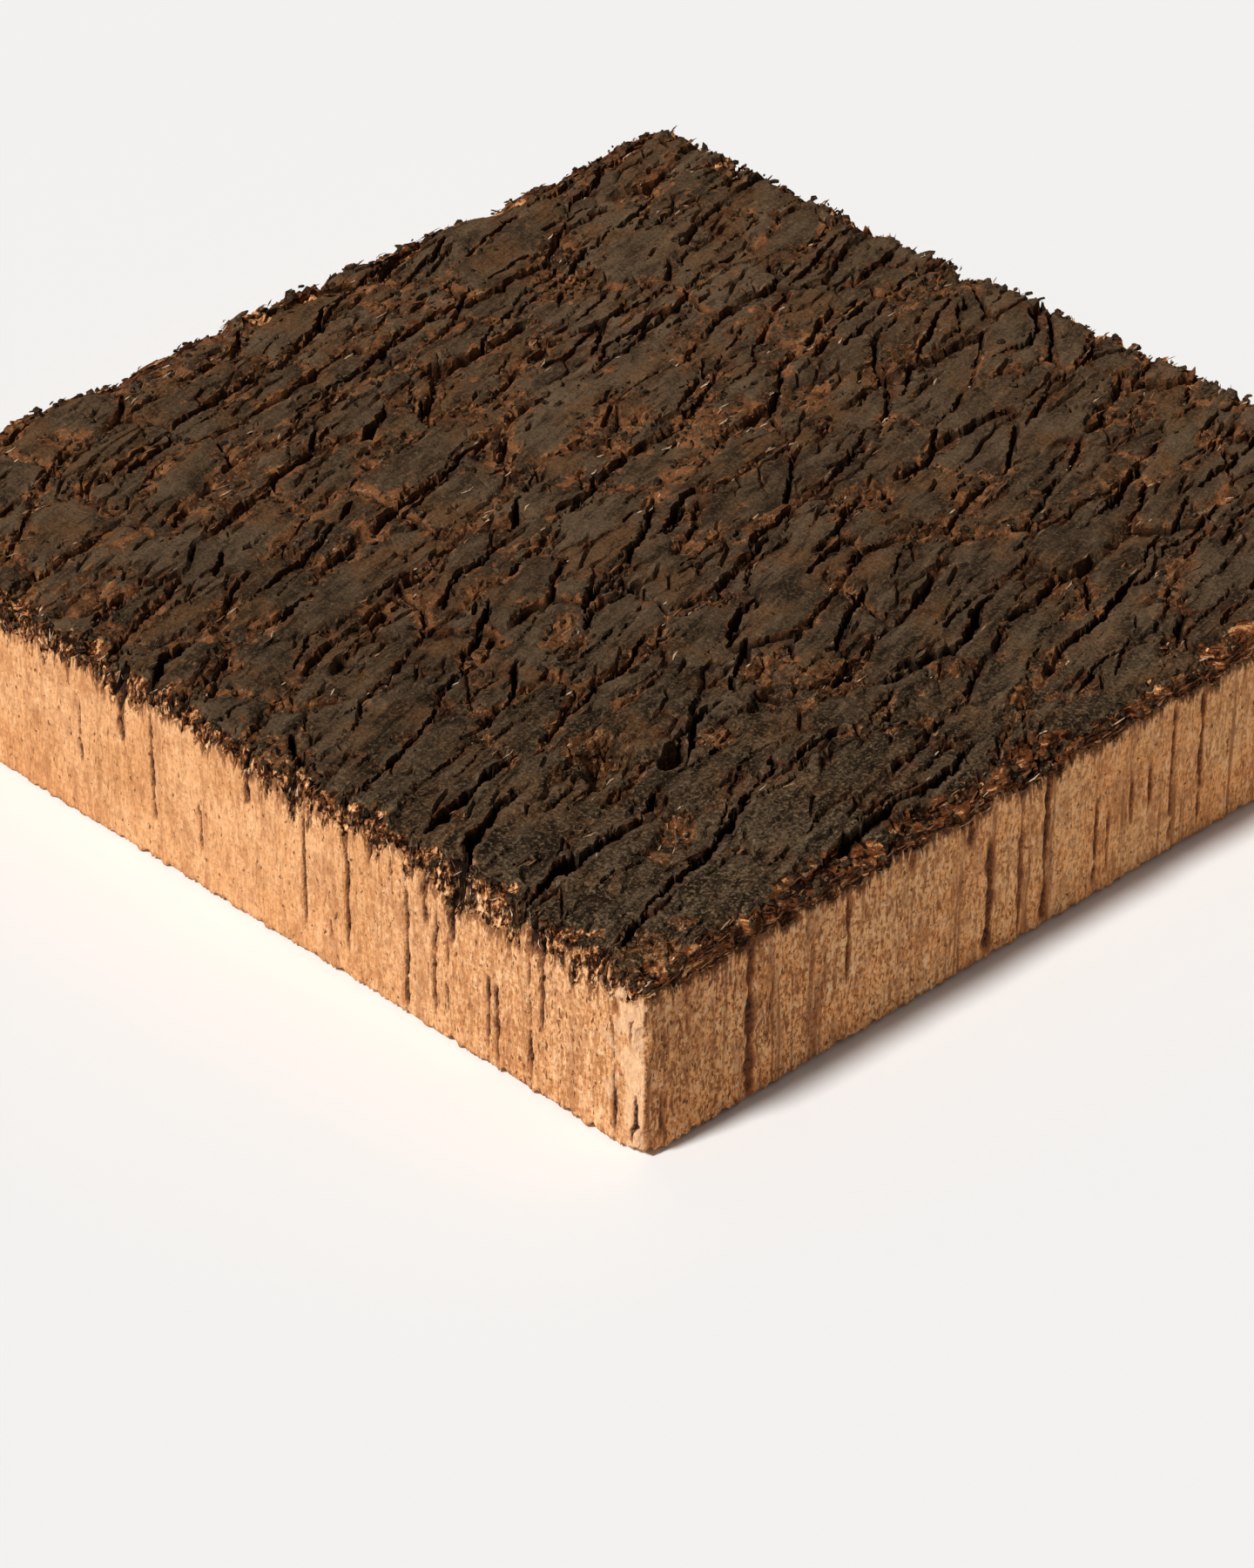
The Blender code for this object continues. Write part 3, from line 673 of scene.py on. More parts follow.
def bark_surface():
    """The bark over a regular grid: coordinates, height and what its colours follow."""
    count = round(2 * HALF / GRID) + 1
    axis = np.linspace(-HALF, HALF, count)
    x, y = np.meshgrid(axis, axis, indexing="ij")
    along, across = grain_coordinates(x, y)
    jag_x, jag_y = broken_offsets(x, y)
    along = along + 1.5 * WARP * noise(x / WARP_SIZE, y / WARP_SIZE, 31) + jag_x
    across = across + WARP * noise(x / WARP_SIZE, y / WARP_SIZE, 37) + jag_y
    swell = SWELL * fractal(x, y, 60, 2, 5)
    fissures = list(FISSURES) + grown_fissures(**LONG_FISSURES) + grown_fissures(**SHORT_CRACKS)
    fissures += list(THIN_CRACKS) + grown_fissures(**HAIR_CRACKS, everywhere=True)
    lost, cut = cut_fissures(x, y, fissures)
    edge = crumbled_edge(x, y)
    lost = lost + broken_hollows(x, y) + edge
    body, tone, gap = plates(along, across, PLATE_LONG, PLATE_WIDE, PLATE_LIFT, PLATE_TILT, PLATE_BLEND, 41)
    open_share = ramp(-0.45, 0.15, fractal(x, y, 13, 3, 47)) * ramp(*PARTINGS_OPEN, corner_distance(x, y))
    partings = PARTING_DEPTH * (1 - ramp(0.15, 0.65, gap)) * open_share
    rust = np.maximum(rust_strength(x, y), crumbly_strips(x, y, gap))
    small, small_tone, seams = fine_relief(x, y, rust)
    cut = np.maximum(cut, np.maximum(partings, seams))
    height = PLATE_TOP + swell + body - lost - partings + small
    ridge = height - blurred(height, 2)
    halo = blurred(np.clip(cut, 0, 1.2), 2)
    return dict(
        x=x,
        y=y,
        height=height,
        crack=np.clip(cut / 2.0, 0, 1.5),
        halo=np.clip(halo, 0, 1),
        edge=np.clip(edge / 1.5, 0, 1.2),
        rust=rust,
        tone=0.6 * tone + 0.4 * small_tone,
        ridge=np.clip(ridge, -3, 3),
    )


def sampled(surface, name, x, y):
    """A field of the surface at any points, by bilinear interpolation."""
    field = surface[name]
    last = field.shape[0] - 1
    u = np.clip((x + HALF) / GRID, 0, last - 1e-6)
    v = np.clip((y + HALF) / GRID, 0, last - 1e-6)
    i, j = u.astype(int), v.astype(int)
    fu, fv = u - i, v - j
    low = field[i, j] * (1 - fu) + field[i + 1, j] * fu
    high = field[i, j + 1] * (1 - fu) + field[i + 1, j + 1] * fu
    return low * (1 - fv) + high * fv


# Sawn sides


def foot_height(x, y):
    """Height of the underside's edge, which wanders, is nibbled and is chipped at one corner."""
    _, along = edge_coordinates(x, y)
    wander = np.clip(0.5 + 0.6 * noise(along / EDGE_WANDER_SIZE, 0, 71), 0, 1)
    nibbles = EDGE_NIBBLE * fractal(along, 0, 2.0, 3, 73)
    edge = EDGE_LIFT[0] + (EDGE_LIFT[1] - EDGE_LIFT[0]) * wander
    chip = CHIP_LIFT * (1 - ramp(0, CHIP_REACH, 1.6 * (x + HALF) + y + HALF))
    return np.maximum(edge + nibbles, 0.2) + chip


def side_slits(seed):
    """Seeded slits for a sawn side."""
    chance = random.Random(seed)
    slits = []
    place = 8.0
    while place < 2 * HALF - 6:
        low = chance.choice((-2, 2, 8, 14)) + chance.uniform(0, 4)
        high = low + chance.choice((6, 10, 18, 30)) + chance.uniform(0, 5)
        slits.append((place, low, high, chance.uniform(0.5, 1.7), chance.uniform(0.3, 1)))
        place += 3 + 16 * chance.random() ** 2
    return slits


# A side: the axis it is square to, which end of that axis, its slits, border and seed
Side = namedtuple("Side", "axis end slits border seed")
SIDES = (
    Side(0, -1, END_SLITS, END_BORDER, 81),
    Side(1, -1, LONG_SIDE_SLITS, LONG_SIDE_BORDER, 84),
    Side(0, 1, side_slits(7), BACK_BORDER, 87),
    Side(1, 1, side_slits(9), BACK_BORDER, 90),
)


def side_distance(side, x, y):
    """Distance in from a side, and place along it."""
    across, along = (x, y) if side.axis == 0 else (y, x)
    return HALF - side.end * across, along + HALF


def slit_field(place, z, side):
    """How deep in a slit each point of a side lies, as a share, and how dark it is there."""
    deepest, darkest = np.zeros(place.shape), np.zeros(place.shape)
    for centre, low, high, width, dark in side.slits:
        wander = 0.25 * noise(z / 8, 3.3 * centre, side.seed + 2)
        wandered = place - centre - wander - 0.2 * fractal(z, 5.1 * centre, 1.6, 3, side.seed + 5)
        broken = np.clip(0.9 + 0.9 * fractal(z, 2.9 * centre, 4.5, 3, side.seed + 6), 0.25, 1.5)
        ends = np.clip(np.minimum(z - low, high - z) / 3, 0, 1)
        inside = ends * (1 - ramp(0.15, 1.0, np.abs(wandered) / (0.65 * width * broken)))
        deepest = np.maximum(deepest, inside)
        darkest = np.maximum(darkest, dark * inside)
    return deepest, darkest


def above_border(place, z, top, side):
    """How far a point of a side lies above the toothed border between cork and bark."""
    level = np.interp(place, *zip(*side.border))
    level = level + 1.1 * fractal(place, 0, 7, 4, side.seed + 8)
    tall = 2.6 * fractal(place, 0.12 * z, 1.4, 3, side.seed + 11)
    teeth = tall + 2.0 * fractal(place, 0.4 * z, 3.6, 3, side.seed + 12) - 0.4
    if side.axis == 1:
        teeth = LONG_TEETH_SHARE * teeth
    return z - np.minimum(level, top - BARK_LEAST) - teeth


def side_fields(place, z, top, side):
    """Inset of a sawn side, how much it is bark rather than cork, and how dark its slits are."""
    seed, long_side = side.seed, side.axis == 1
    streaks = 0.2 * fractal(place, 0.12 * z, 2.5, 2, seed)
    fibres = 0.12 * noise(place / 0.9, z / 5, seed + 9) + 0.07 * noise(place / 0.8, z / 1.6, seed + 10)
    deep, dark = slit_field(place, z, side)
    above = above_border(place, z, top, side)
    bark = ramp(-0.3, 0.3, above)
    receding = np.clip(0.22 * above, 0, 1.6) + 0.4 * fractal(place, 1.4 * z, 3, 3, seed + 1)
    slit_depth = LONG_SLIT_SHARE * SLIT_DEPTH if long_side else SLIT_DEPTH
    inset = 0.2 + streaks + fibres + slit_depth * (0.3 * deep + 0.7 * dark)
    inset = inset + bark * np.clip(receding, -0.15, 2.0)
    from_corner = np.minimum(place, 2 * HALF - place)
    inset = np.clip(inset, 0, INSET_MOST) * (0.3 + 0.7 * ramp(0, 5, from_corner))
    blocks = fractal(z, 1.4, 8.0, 4, seed % 7 + 96)
    uneven = 1.2 * ramp(-0.1, 0.3, blocks) + np.clip(1.2 * blocks, 0, 0.9)
    chipped = uneven if long_side else END_CORNER_SHARE * uneven
    return inset + chipped * np.exp(-from_corner / 0.6), bark, dark


def near_sides(x, y, z, top, keep_bark):
    """Points moved in by the relief of the four sides, and how dark the slits are there.

    Only what is bark, or only what is pale cork, keeps its place: the other kind is drawn back
    behind it, so that the two pieces meet along the ragged border."""
    moved = [np.array(x, float), np.array(y, float)]
    darkest = np.zeros(np.shape(x))
    for side in SIDES:
        from_side, place = side_distance(side, x, y)
        close = from_side < 5 * SIDE_REACH
        if not close.any():
            continue
        inset, bark, dark = side_fields(place[close], z[close], top[close], side)
        hidden = (1 - bark) if keep_bark else bark
        fade = np.exp(-from_side[close] / SIDE_REACH)
        moved[side.axis][close] -= side.end * (inset + HIDDEN_BACK * hidden) * fade
        darkest[close] = np.maximum(darkest[close], dark * ramp(0.4, 0.9, fade))
    return moved[0], moved[1], darkest


# Meshes


def grid_faces(index):
    """Quads of a grid of vertex numbers, facing up."""
    corners = (index[:-1, :-1], index[1:, :-1], index[1:, 1:], index[:-1, 1:])
    return np.stack(corners, -1).reshape(-1, 4)


def closed_rows(index):
    """Rows of vertex numbers round a loop, with the first column repeated at the end."""
    return np.hstack([index, index[:, :1]])


def border_ring(count):
    """Grid indices round the border, counterclockwise seen from above."""
    run = np.arange(count - 1)
    low, high = np.zeros(count - 1, int), np.full(count - 1, count - 1)
    columns = np.concatenate([run, high, high - run, low])
    rows = np.concatenate([low, run, high, high - run])
    return columns, rows


def fan(ring, middle, up):
    """Triangles between a closed ring of vertex numbers and a middle one, facing up or down."""
    first, second = (ring[:-1], ring[1:]) if up else (ring[1:], ring[:-1])
    return np.stack([first, second, np.full(len(first), middle)], -1)


def new_object(name, points, quads, triangles=()):
    mesh = bpy.data.meshes.new(name)
    faces = np.asarray(quads).tolist() + np.asarray(triangles).tolist()
    mesh.from_pydata((points * MM).tolist(), [], faces)
    mesh.update()
    thing = bpy.data.objects.new(name, mesh)
    bpy.context.scene.collection.objects.link(thing)
    return thing


def thin_out(thing, triangles):
    """Collapses a mesh to about this many triangles, least near the -X, -Y corner."""
    x, y, _ = vertex_places(thing)
    step = np.round(THIN_STEPS * np.clip(corner_distance(x, y) / (2 * HALF), 0, 1)).astype(int)
    far = thing.vertex_groups.new(name="far")
    for k in range(THIN_STEPS + 1):
        far.add(np.flatnonzero(step == k).tolist(), k / THIN_STEPS, "REPLACE")
    modifier = thing.modifiers.new("Fewer faces", "DECIMATE")
    modifier.ratio = min(1.0, triangles / (2 * len(thing.data.polygons)))
    modifier.use_collapse_triangulate = True
    modifier.vertex_group = far.name
    modifier.vertex_group_factor = NEAR_SHARE
    bpy.context.view_layer.update()
    evaluated = thing.evaluated_get(bpy.context.evaluated_depsgraph_get())
    mesh = bpy.data.meshes.new_from_object(evaluated)
    thing.modifiers.clear()
    thing.vertex_groups.clear()
    thing.data = mesh


def vertex_places(thing):
    places = np.zeros(3 * len(thing.data.vertices), np.float32)
    thing.data.vertices.foreach_get("co", places)
    return places.reshape(-1, 3).astype(float).T / MM


def set_field(thing, name, values):
    attribute = thing.data.attributes.new(name, "FLOAT", "POINT")
    attribute.data.foreach_set("value", np.ascontiguousarray(values, np.float32))


def shade_smooth(thing):
    thing.data.polygons.foreach_set("use_smooth", np.ones(len(thing.data.polygons), bool))


def is_long_side(x, y):
    """1 beside the two sides sawn along the grain, 0 elsewhere."""
    from_x, from_y = HALF - np.abs(x), HALF - np.abs(y)
    return ((from_y < LONG_SIDE_REACH) & (from_y < from_x)).astype(float)


def side_wall(ring_x, ring_y, ring_top, z, keep_bark):
    """Rows of points down the sides, moved in by their relief, and how dark the slits are there."""
    x, y, top = (np.broadcast_to(ring, z.shape) for ring in (ring_x, ring_y, ring_top))
    moved_x, moved_y, dark = near_sides(x, y, z, top, keep_bark)
    return np.stack([moved_x, moved_y, z], -1), dark


def make_bark(surface):
    """The bark: top, the band of it that shows on the sides, and a hidden underside."""
    x, y, height = surface["x"], surface["y"], surface["height"]
    count = x.shape[0]
    columns, rows = border_ring(count)
    ring_x, ring_y, ring_top = x[columns, rows], y[columns, rows], height[columns, rows]
    share = np.arange(1, BARK_BAND_ROWS + 1)[:, None] / BARK_BAND_ROWS
    band_z = ring_top * (1 - share) + np.minimum(BARK_BAND_LOW, ring_top - BARK_BAND_LEAST) * share

    top_x, top_y, _ = near_sides(x, y, height, height, True)
    top = np.stack([top_x, top_y, height], -1)
    band, _ = side_wall(ring_x, ring_y, ring_top, band_z, True)
    middle = np.array([[0.0, 0.0, BARK_BAND_LOW - 1]])
    points = np.concatenate([top.reshape(-1, 3), band.reshape(-1, 3), middle])
    top_index = np.arange(count * count).reshape(count, count)
    band_index = count * count + np.arange(band_z.size).reshape(band_z.shape)
    wall = closed_rows(np.vstack([band_index[::-1], top_index[columns, rows]]))
    quads = np.concatenate([grid_faces(top_index), grid_faces(wall.T)])
    bark = new_object("bark_crust", points, quads, fan(wall[0], len(points) - 1, False))
    thin_out(bark, BARK_TRIANGLES)

    px, py, pz = vertex_places(bark)
    for name in ("crack", "halo", "rust", "tone", "ridge", "edge"):
        set_field(bark, name, sampled(surface, name, px, py))
    warm = WARM_SHARES[0] * (px + HALF) + WARM_SHARES[1] * (py + HALF)
    set_field(bark, "warm", np.clip(warm / FAR, 0, 1))
    set_field(bark, "long_side", is_long_side(px, py))
    outer_x, outer_y = (np.where(HALF - np.abs(p) < SIDE_REACH, np.sign(p) * HALF, p) for p in (px, py))
    set_field(bark, "slit", near_sides(outer_x, outer_y, pz, pz + 2, True)[2])
    set_field(bark, "below", np.clip(sampled(surface, "height", px, py) - pz, 0, 20))
    shade_smooth(bark)
    bark.data.set_sharp_from_angle(angle=math.radians(SHARP_ANGLE))
    return bark


def make_cork(surface):
    """The pale cork: the sawn sides, the underside and a hidden top."""
    count = round(2 * HALF / WALL_STEP) + 1
    axis = np.linspace(-HALF, HALF, count)
    x, y = np.meshgrid(axis, axis, indexing="ij")
    columns, rows = border_ring(count)
    ring_x, ring_y = x[columns, rows], y[columns, rows]
    ring_top = sampled(surface, "height", ring_x, ring_y)
    rim = np.minimum(RIM_TOP, ring_top - RIM_COVER)
    foot = foot_height(ring_x, ring_y)
    share = np.arange(WALL_ROWS + 1)[:, None] / WALL_ROWS
    wall, dark = side_wall(ring_x, ring_y, ring_top, foot * (1 - share) + rim * share, False)

    def inner_ring(inset, z):
        scale = (HALF - inset) / HALF
        return np.stack([ring_x * scale, ring_y * scale, z], -1)

    below = [inner_ring(HALF - FLAT_HALF, 0 * foot), inner_ring(FOOT_INSET, 0.35 * foot)]
    above = [inner_ring(inset, z) for inset, z in zip(RIM_INSETS, (rim, np.full(len(rim), HIDDEN_TOP)))]
    rings = [*below, *wall, *above]
    points = np.concatenate([*rings, [[0.0, 0.0, 0.0], [0.0, 0.0, HIDDEN_TOP]]])
    index = closed_rows(np.arange(len(rings) * len(ring_x)).reshape(len(rings), -1))
    fans = [fan(index[0], len(points) - 2, False), fan(index[-1], len(points) - 1, True)]
    cork = new_object("cork_body", points, grid_faces(index.T), np.concatenate(fans))

    px, py, pz = vertex_places(cork)
    dark_all = np.zeros(len(px))
    first = len(below) * len(ring_x)
    dark_all[first : first + dark.size] = dark.reshape(-1)
    set_field(cork, "slit", dark_all)
    top = sampled(surface, "height", px, py)
    stain = np.zeros(len(px))
    for side in SIDES:
        from_side, place = side_distance(side, px, py)
        above = above_border(place, pz, top, side)
        stain = np.maximum(stain, np.where(from_side < STAIN_REACH, ramp(-STAIN_DROP, 0.3, above), 0))
    set_field(cork, "stain", stain)
    set_field(cork, "far", np.clip(corner_distance(px, py) / FAR, 0, 1))
    set_field(cork, "long_side", is_long_side(px, py))
    shade_smooth(cork)
    return cork


def drawn_spots(surface, weights, count, seed):
    """Places just above the bark drawn by weight, a little off the grid's own points."""
    chance = np.random.default_rng(seed)
    share = weights.ravel() / weights.sum()
    drawn = chance.choice(share.size, count, p=share)
    spots = [surface[name].ravel()[drawn] + chance.uniform(-GRID, GRID, count) for name in ("x", "y")]
    x, y = np.clip(spots, 0.4 - HALF, HALF - 0.4)
    return chance, np.stack([x, y, sampled(surface, "height", x, y) + BIT_LIFT], 1)


def side_spots(surface, count, seed):
    """Places in the ragged border of bark and cork on the four sides, and which sides run long."""
    chance = np.random.default_rng(seed)
    number = chance.integers(0, 4, count)
    along = chance.uniform(0.5 - HALF, HALF - 0.5, count)
    edge = np.where(number < 2, -HALF, HALF)
    x = np.where(number % 2 == 0, edge, along)
    y = np.where(number % 2 == 0, along, edge)
    top = sampled(surface, "height", x, y)
    z = top - chance.uniform(0.2, 6.0, count)
    moved_x, moved_y, _ = near_sides(x, y, z, top, True)
    return chance, np.stack([moved_x, moved_y, z], 1), number % 2 == 1


def unit(vectors):
    return vectors / np.linalg.norm(vectors, axis=-1, keepdims=True)


def frame_across(direction, up):
    """Two directions square to each given one."""
    first = unit(np.cross(direction, up))
    return first, np.cross(direction, first)


def fibre_points(chance, middle, direction, length, thick):
    """Three rings of three points for each fibre, thinner at its ends and bent in the middle."""
    count = len(middle)
    first, second = frame_across(direction, np.array([0.13, 0.21, 0.97]))
    bend = chance.normal(0, 0.08, (count, 1)) * length[:, None]
    rings = []
    for place, size in ((-0.5, 0.45), (0.0, 1.0), (0.5, 0.25)):
        centre = middle + direction * (place * length)[:, None] + first * bend * (place == 0)
        for corner in range(3):
            angle = 2 * math.pi * corner / 3
            offset = first * math.cos(angle) + second * math.sin(angle)
            rings.append(centre + offset * (size * thick)[:, None])
    return np.stack(rings, 1)


def fibre_faces():
    """Faces of one fibre, facing out."""
    faces = [(0, 2, 1), (6, 7, 8)]
    for ring in (0, 3):
        for k in range(3):
            a, b = ring + k, ring + (k + 1) % 3
            faces += [(a, b, b + 3), (a, b + 3, a + 3)]
    return faces


def chip_points(chance, middle, direction, tilt, size, thick):
    """Two rings of five points for each chip, uneven and lying along the given direction."""
    count = len(middle)
    normal = unit(tilt)
    along = unit(direction - normal * np.sum(direction * normal, 1, keepdims=True))
    across = np.cross(normal, along)
    rings = []
    radii = size[:, None] * chance.uniform(0.6, 1.2, (count, 5))
    for level, shrink in ((-0.5, 1.0), (0.5, 0.8)):
        for corner in range(5):
            angle = 2 * math.pi * corner / 5
            reach = shrink * radii[:, corner : corner + 1]
            place = middle + reach * (1.6 * math.cos(angle) * along + math.sin(angle) * across)
            rings.append(place + normal * (level * thick)[:, None])
    return np.stack(rings, 1)


def chip_faces():
    """Faces of one chip, facing out."""
    faces = [(5, 6, 7), (5, 7, 8), (5, 8, 9), (0, 2, 1), (0, 3, 2), (0, 4, 3)]
    for k in range(5):
        a, b = k, (k + 1) % 5
        faces += [(a, b, b + 5), (a, b + 5, a + 5)]
    return faces


def many_small(name, shapes, faces, tones):
    """One object out of many small shapes which share their faces' numbering."""
    points = shapes.reshape(-1, 3)
    first = np.arange(len(shapes))[:, None, None] * shapes.shape[1]
    thing = new_object(name, points, (np.array(faces)[None] + first).reshape(-1, 3))
    set_field(thing, "tone", np.repeat(tones, shapes.shape[1]))
    return thing


def grain_directions(chance, count, turn, lift):
    """Directions that lie roughly along the grain."""
    angle = math.atan(GRAIN_SLOPE) + chance.normal(0, turn, count)
    rise = chance.normal(0, lift, count)
    return unit(np.stack([np.cos(angle), np.sin(angle), rise], 1))


def make_fibres(surface):
    """Torn fibres along the cracks, in the rusty patches and in the ragged border on the sides."""
    near, _ = edge_coordinates(surface["x"], surface["y"])
    patchy = ramp(0.05, 0.6, fractal(surface["x"], surface["y"], 12, 2, 201))
    rim = surface["halo"] * (surface["crack"] < 0.3) * patchy
    weights = 1.2 * rim + 0.3 * surface["rust"] + 0.3 * (near < GATHER_REACH)
    chance, middle = drawn_spots(surface, weights, FIBRES, 203)
    direction = grain_directions(chance, FIBRES, 0.2, 0.1)
    lengths = chance.uniform(0.9, 3.2, FIBRES)
    on_top = fibre_points(chance, middle, direction, lengths, chance.uniform(0.08, 0.2, FIBRES))

    chance, middle, long_side = side_spots(surface, SIDE_FIBRES, 207)
    ones = np.ones(SIDE_FIBRES)
    lean = [chance.normal(0, 0.25, SIDE_FIBRES) for _ in range(2)]
    rise = chance.normal(0.1, 0.1, SIDE_FIBRES)
    upright, level = np.stack([*lean, ones], 1), np.stack([ones, 0 * ones, rise], 1)
    direction = unit(np.where(long_side[:, None], level, upright))
    lengths = chance.uniform(0.8, 2.6, SIDE_FIBRES) * np.where(long_side, 1.8, 1.0)
    thick = chance.uniform(0.08, 0.2, SIDE_FIBRES)
    on_sides = fibre_points(chance, middle, direction, lengths, thick)

    tones = chance.uniform(0, 1, FIBRES + SIDE_FIBRES)
    return many_small("bark_fibres", np.concatenate([on_top, on_sides]), fibre_faces(), tones)


def make_chips(surface):
    """Loose chips of bark on the cracks' edges, in the rusty patches and along the sawn edges."""
    near, _ = edge_coordinates(surface["x"], surface["y"])
    rim = 0.4 * surface["halo"] * (surface["crack"] < 0.4)
    weights = 0.01 + rim + surface["rust"] + 0.8 * (near < GATHER_REACH)
    chance, middle = drawn_spots(surface, weights, CHIPS, 211)
    size = chance.uniform(0.3, 0.9, CHIPS) ** 1.3
    direction = grain_directions(chance, CHIPS, 0.5, 0.0)
    tilt = np.stack([chance.normal(0, 0.3, CHIPS), chance.normal(0, 0.3, CHIPS), np.ones(CHIPS)], 1)
    shapes = chip_points(chance, middle, direction, tilt, size, chance.uniform(0.15, 0.4, CHIPS))
    return many_small("bark_chips", shapes, chip_faces(), chance.uniform(0, 1, CHIPS))


# Materials


class Shader:
    """A few short names for building a material's nodes."""

    def __init__(self, name, roughness, specular):
        self.material = bpy.data.materials.new(name)
        self.material.use_nodes = True
        self.tree = self.material.node_tree
        self.surface = self.tree.nodes["Principled BSDF"]
        self.surface.inputs["Roughness"].default_value = roughness
        self.surface.inputs["Specular IOR Level"].default_value = specular

    def node(self, kind, settings=None, **inputs):
        made = self.tree.nodes.new(kind)
        for key, value in (settings or {}).items():
            setattr(made, key, value)
        for key, value in inputs.items():
            self.feed(made.inputs[key.replace("_", " ")], value)
        return made

    def feed(self, socket, value):
        if isinstance(value, bpy.types.NodeSocket):
            self.tree.links.new(value, socket)
        else:
            socket.default_value = value

    def fields(self, *names):
        nodes = [self.node("ShaderNodeAttribute", {"attribute_name": name}) for name in names]
        return [node.outputs["Fac"] for node in nodes]

    def place(self, stretch=(1, 1, 1), turn=0.0):
        """Position in millimetres, turned about Z and divided by the stretch."""
        made = self.node("ShaderNodeMapping", {"vector_type": "TEXTURE"})
        self.feed(made.inputs["Vector"], self.node("ShaderNodeTexCoord").outputs["Object"])
        made.inputs["Rotation"].default_value = (0, 0, turn)
        made.inputs["Scale"].default_value = [MM * s for s in stretch]
        return made.outputs["Vector"]

    def noise(self, place, size, detail=2.0, rough=0.5):
        made = self.node("ShaderNodeTexNoise", Vector=place, Scale=1.0 / size, Detail=detail)
        made.inputs["Roughness"].default_value = rough
        return made.outputs["Fac"]

    def sums(self, how, first, *others):
        """The first value with each of the others added to it, multiplied into it or compared with it."""
        for other in others:
            made = self.node("ShaderNodeMath", {"operation": how})
            self.feed(made.inputs[0], first)
            self.feed(made.inputs[1], other)
            first = made.outputs[0]
        return first

    def plus(self, *values):
        return self.sums("ADD", *values)

    def times(self, *values):
        return self.sums("MULTIPLY", *values)

    def band(self, value, low, high, to_low=0.0, to_high=1.0):
        """The value eased from one range to another."""
        made = self.node("ShaderNodeMapRange", {"interpolation_type": "SMOOTHSTEP"}, Value=value)
        for key, number in (("From Min", low), ("From Max", high), ("To Min", to_low), ("To Max", to_high)):
            made.inputs[key].default_value = number
        return made.outputs["Result"]

    def mix(self, share, first, second, blend="MIX"):
        made = self.node("ShaderNodeMix", {"data_type": "RGBA", "blend_type": blend})
        self.feed(made.inputs[0], share)
        for socket, colour in ((made.inputs[6], first), (made.inputs[7], second)):
            self.feed(socket, colour if isinstance(colour, bpy.types.NodeSocket) else (*colour, 1.0))
        return made.outputs[2]

    def coats(self, colour, *coats):
        """The colour with coats laid over it, one after another.

        Each coat is a value, where it starts to cover, where it is full, its share there and its colour.
        """
        for value, start, full, most, tint in coats:
            if isinstance(most, bpy.types.NodeSocket):
                share = self.times(self.band(value, start, full), most)
            else:
                share = self.band(value, start, full, 0, most)
            colour = self.mix(share, colour, tint)
        return colour

    def bump(self, height, depth, strength, under=None):
        made = self.node("ShaderNodeBump", Height=height, Distance=depth * MM, Strength=strength)
        if under is not None:
            self.feed(made.inputs["Normal"], under)
        return made.outputs["Normal"]

    def finish(self, colour, normal):
        self.feed(self.surface.inputs["Base Color"], colour)
        self.feed(self.surface.inputs["Normal"], normal)
        return self.material


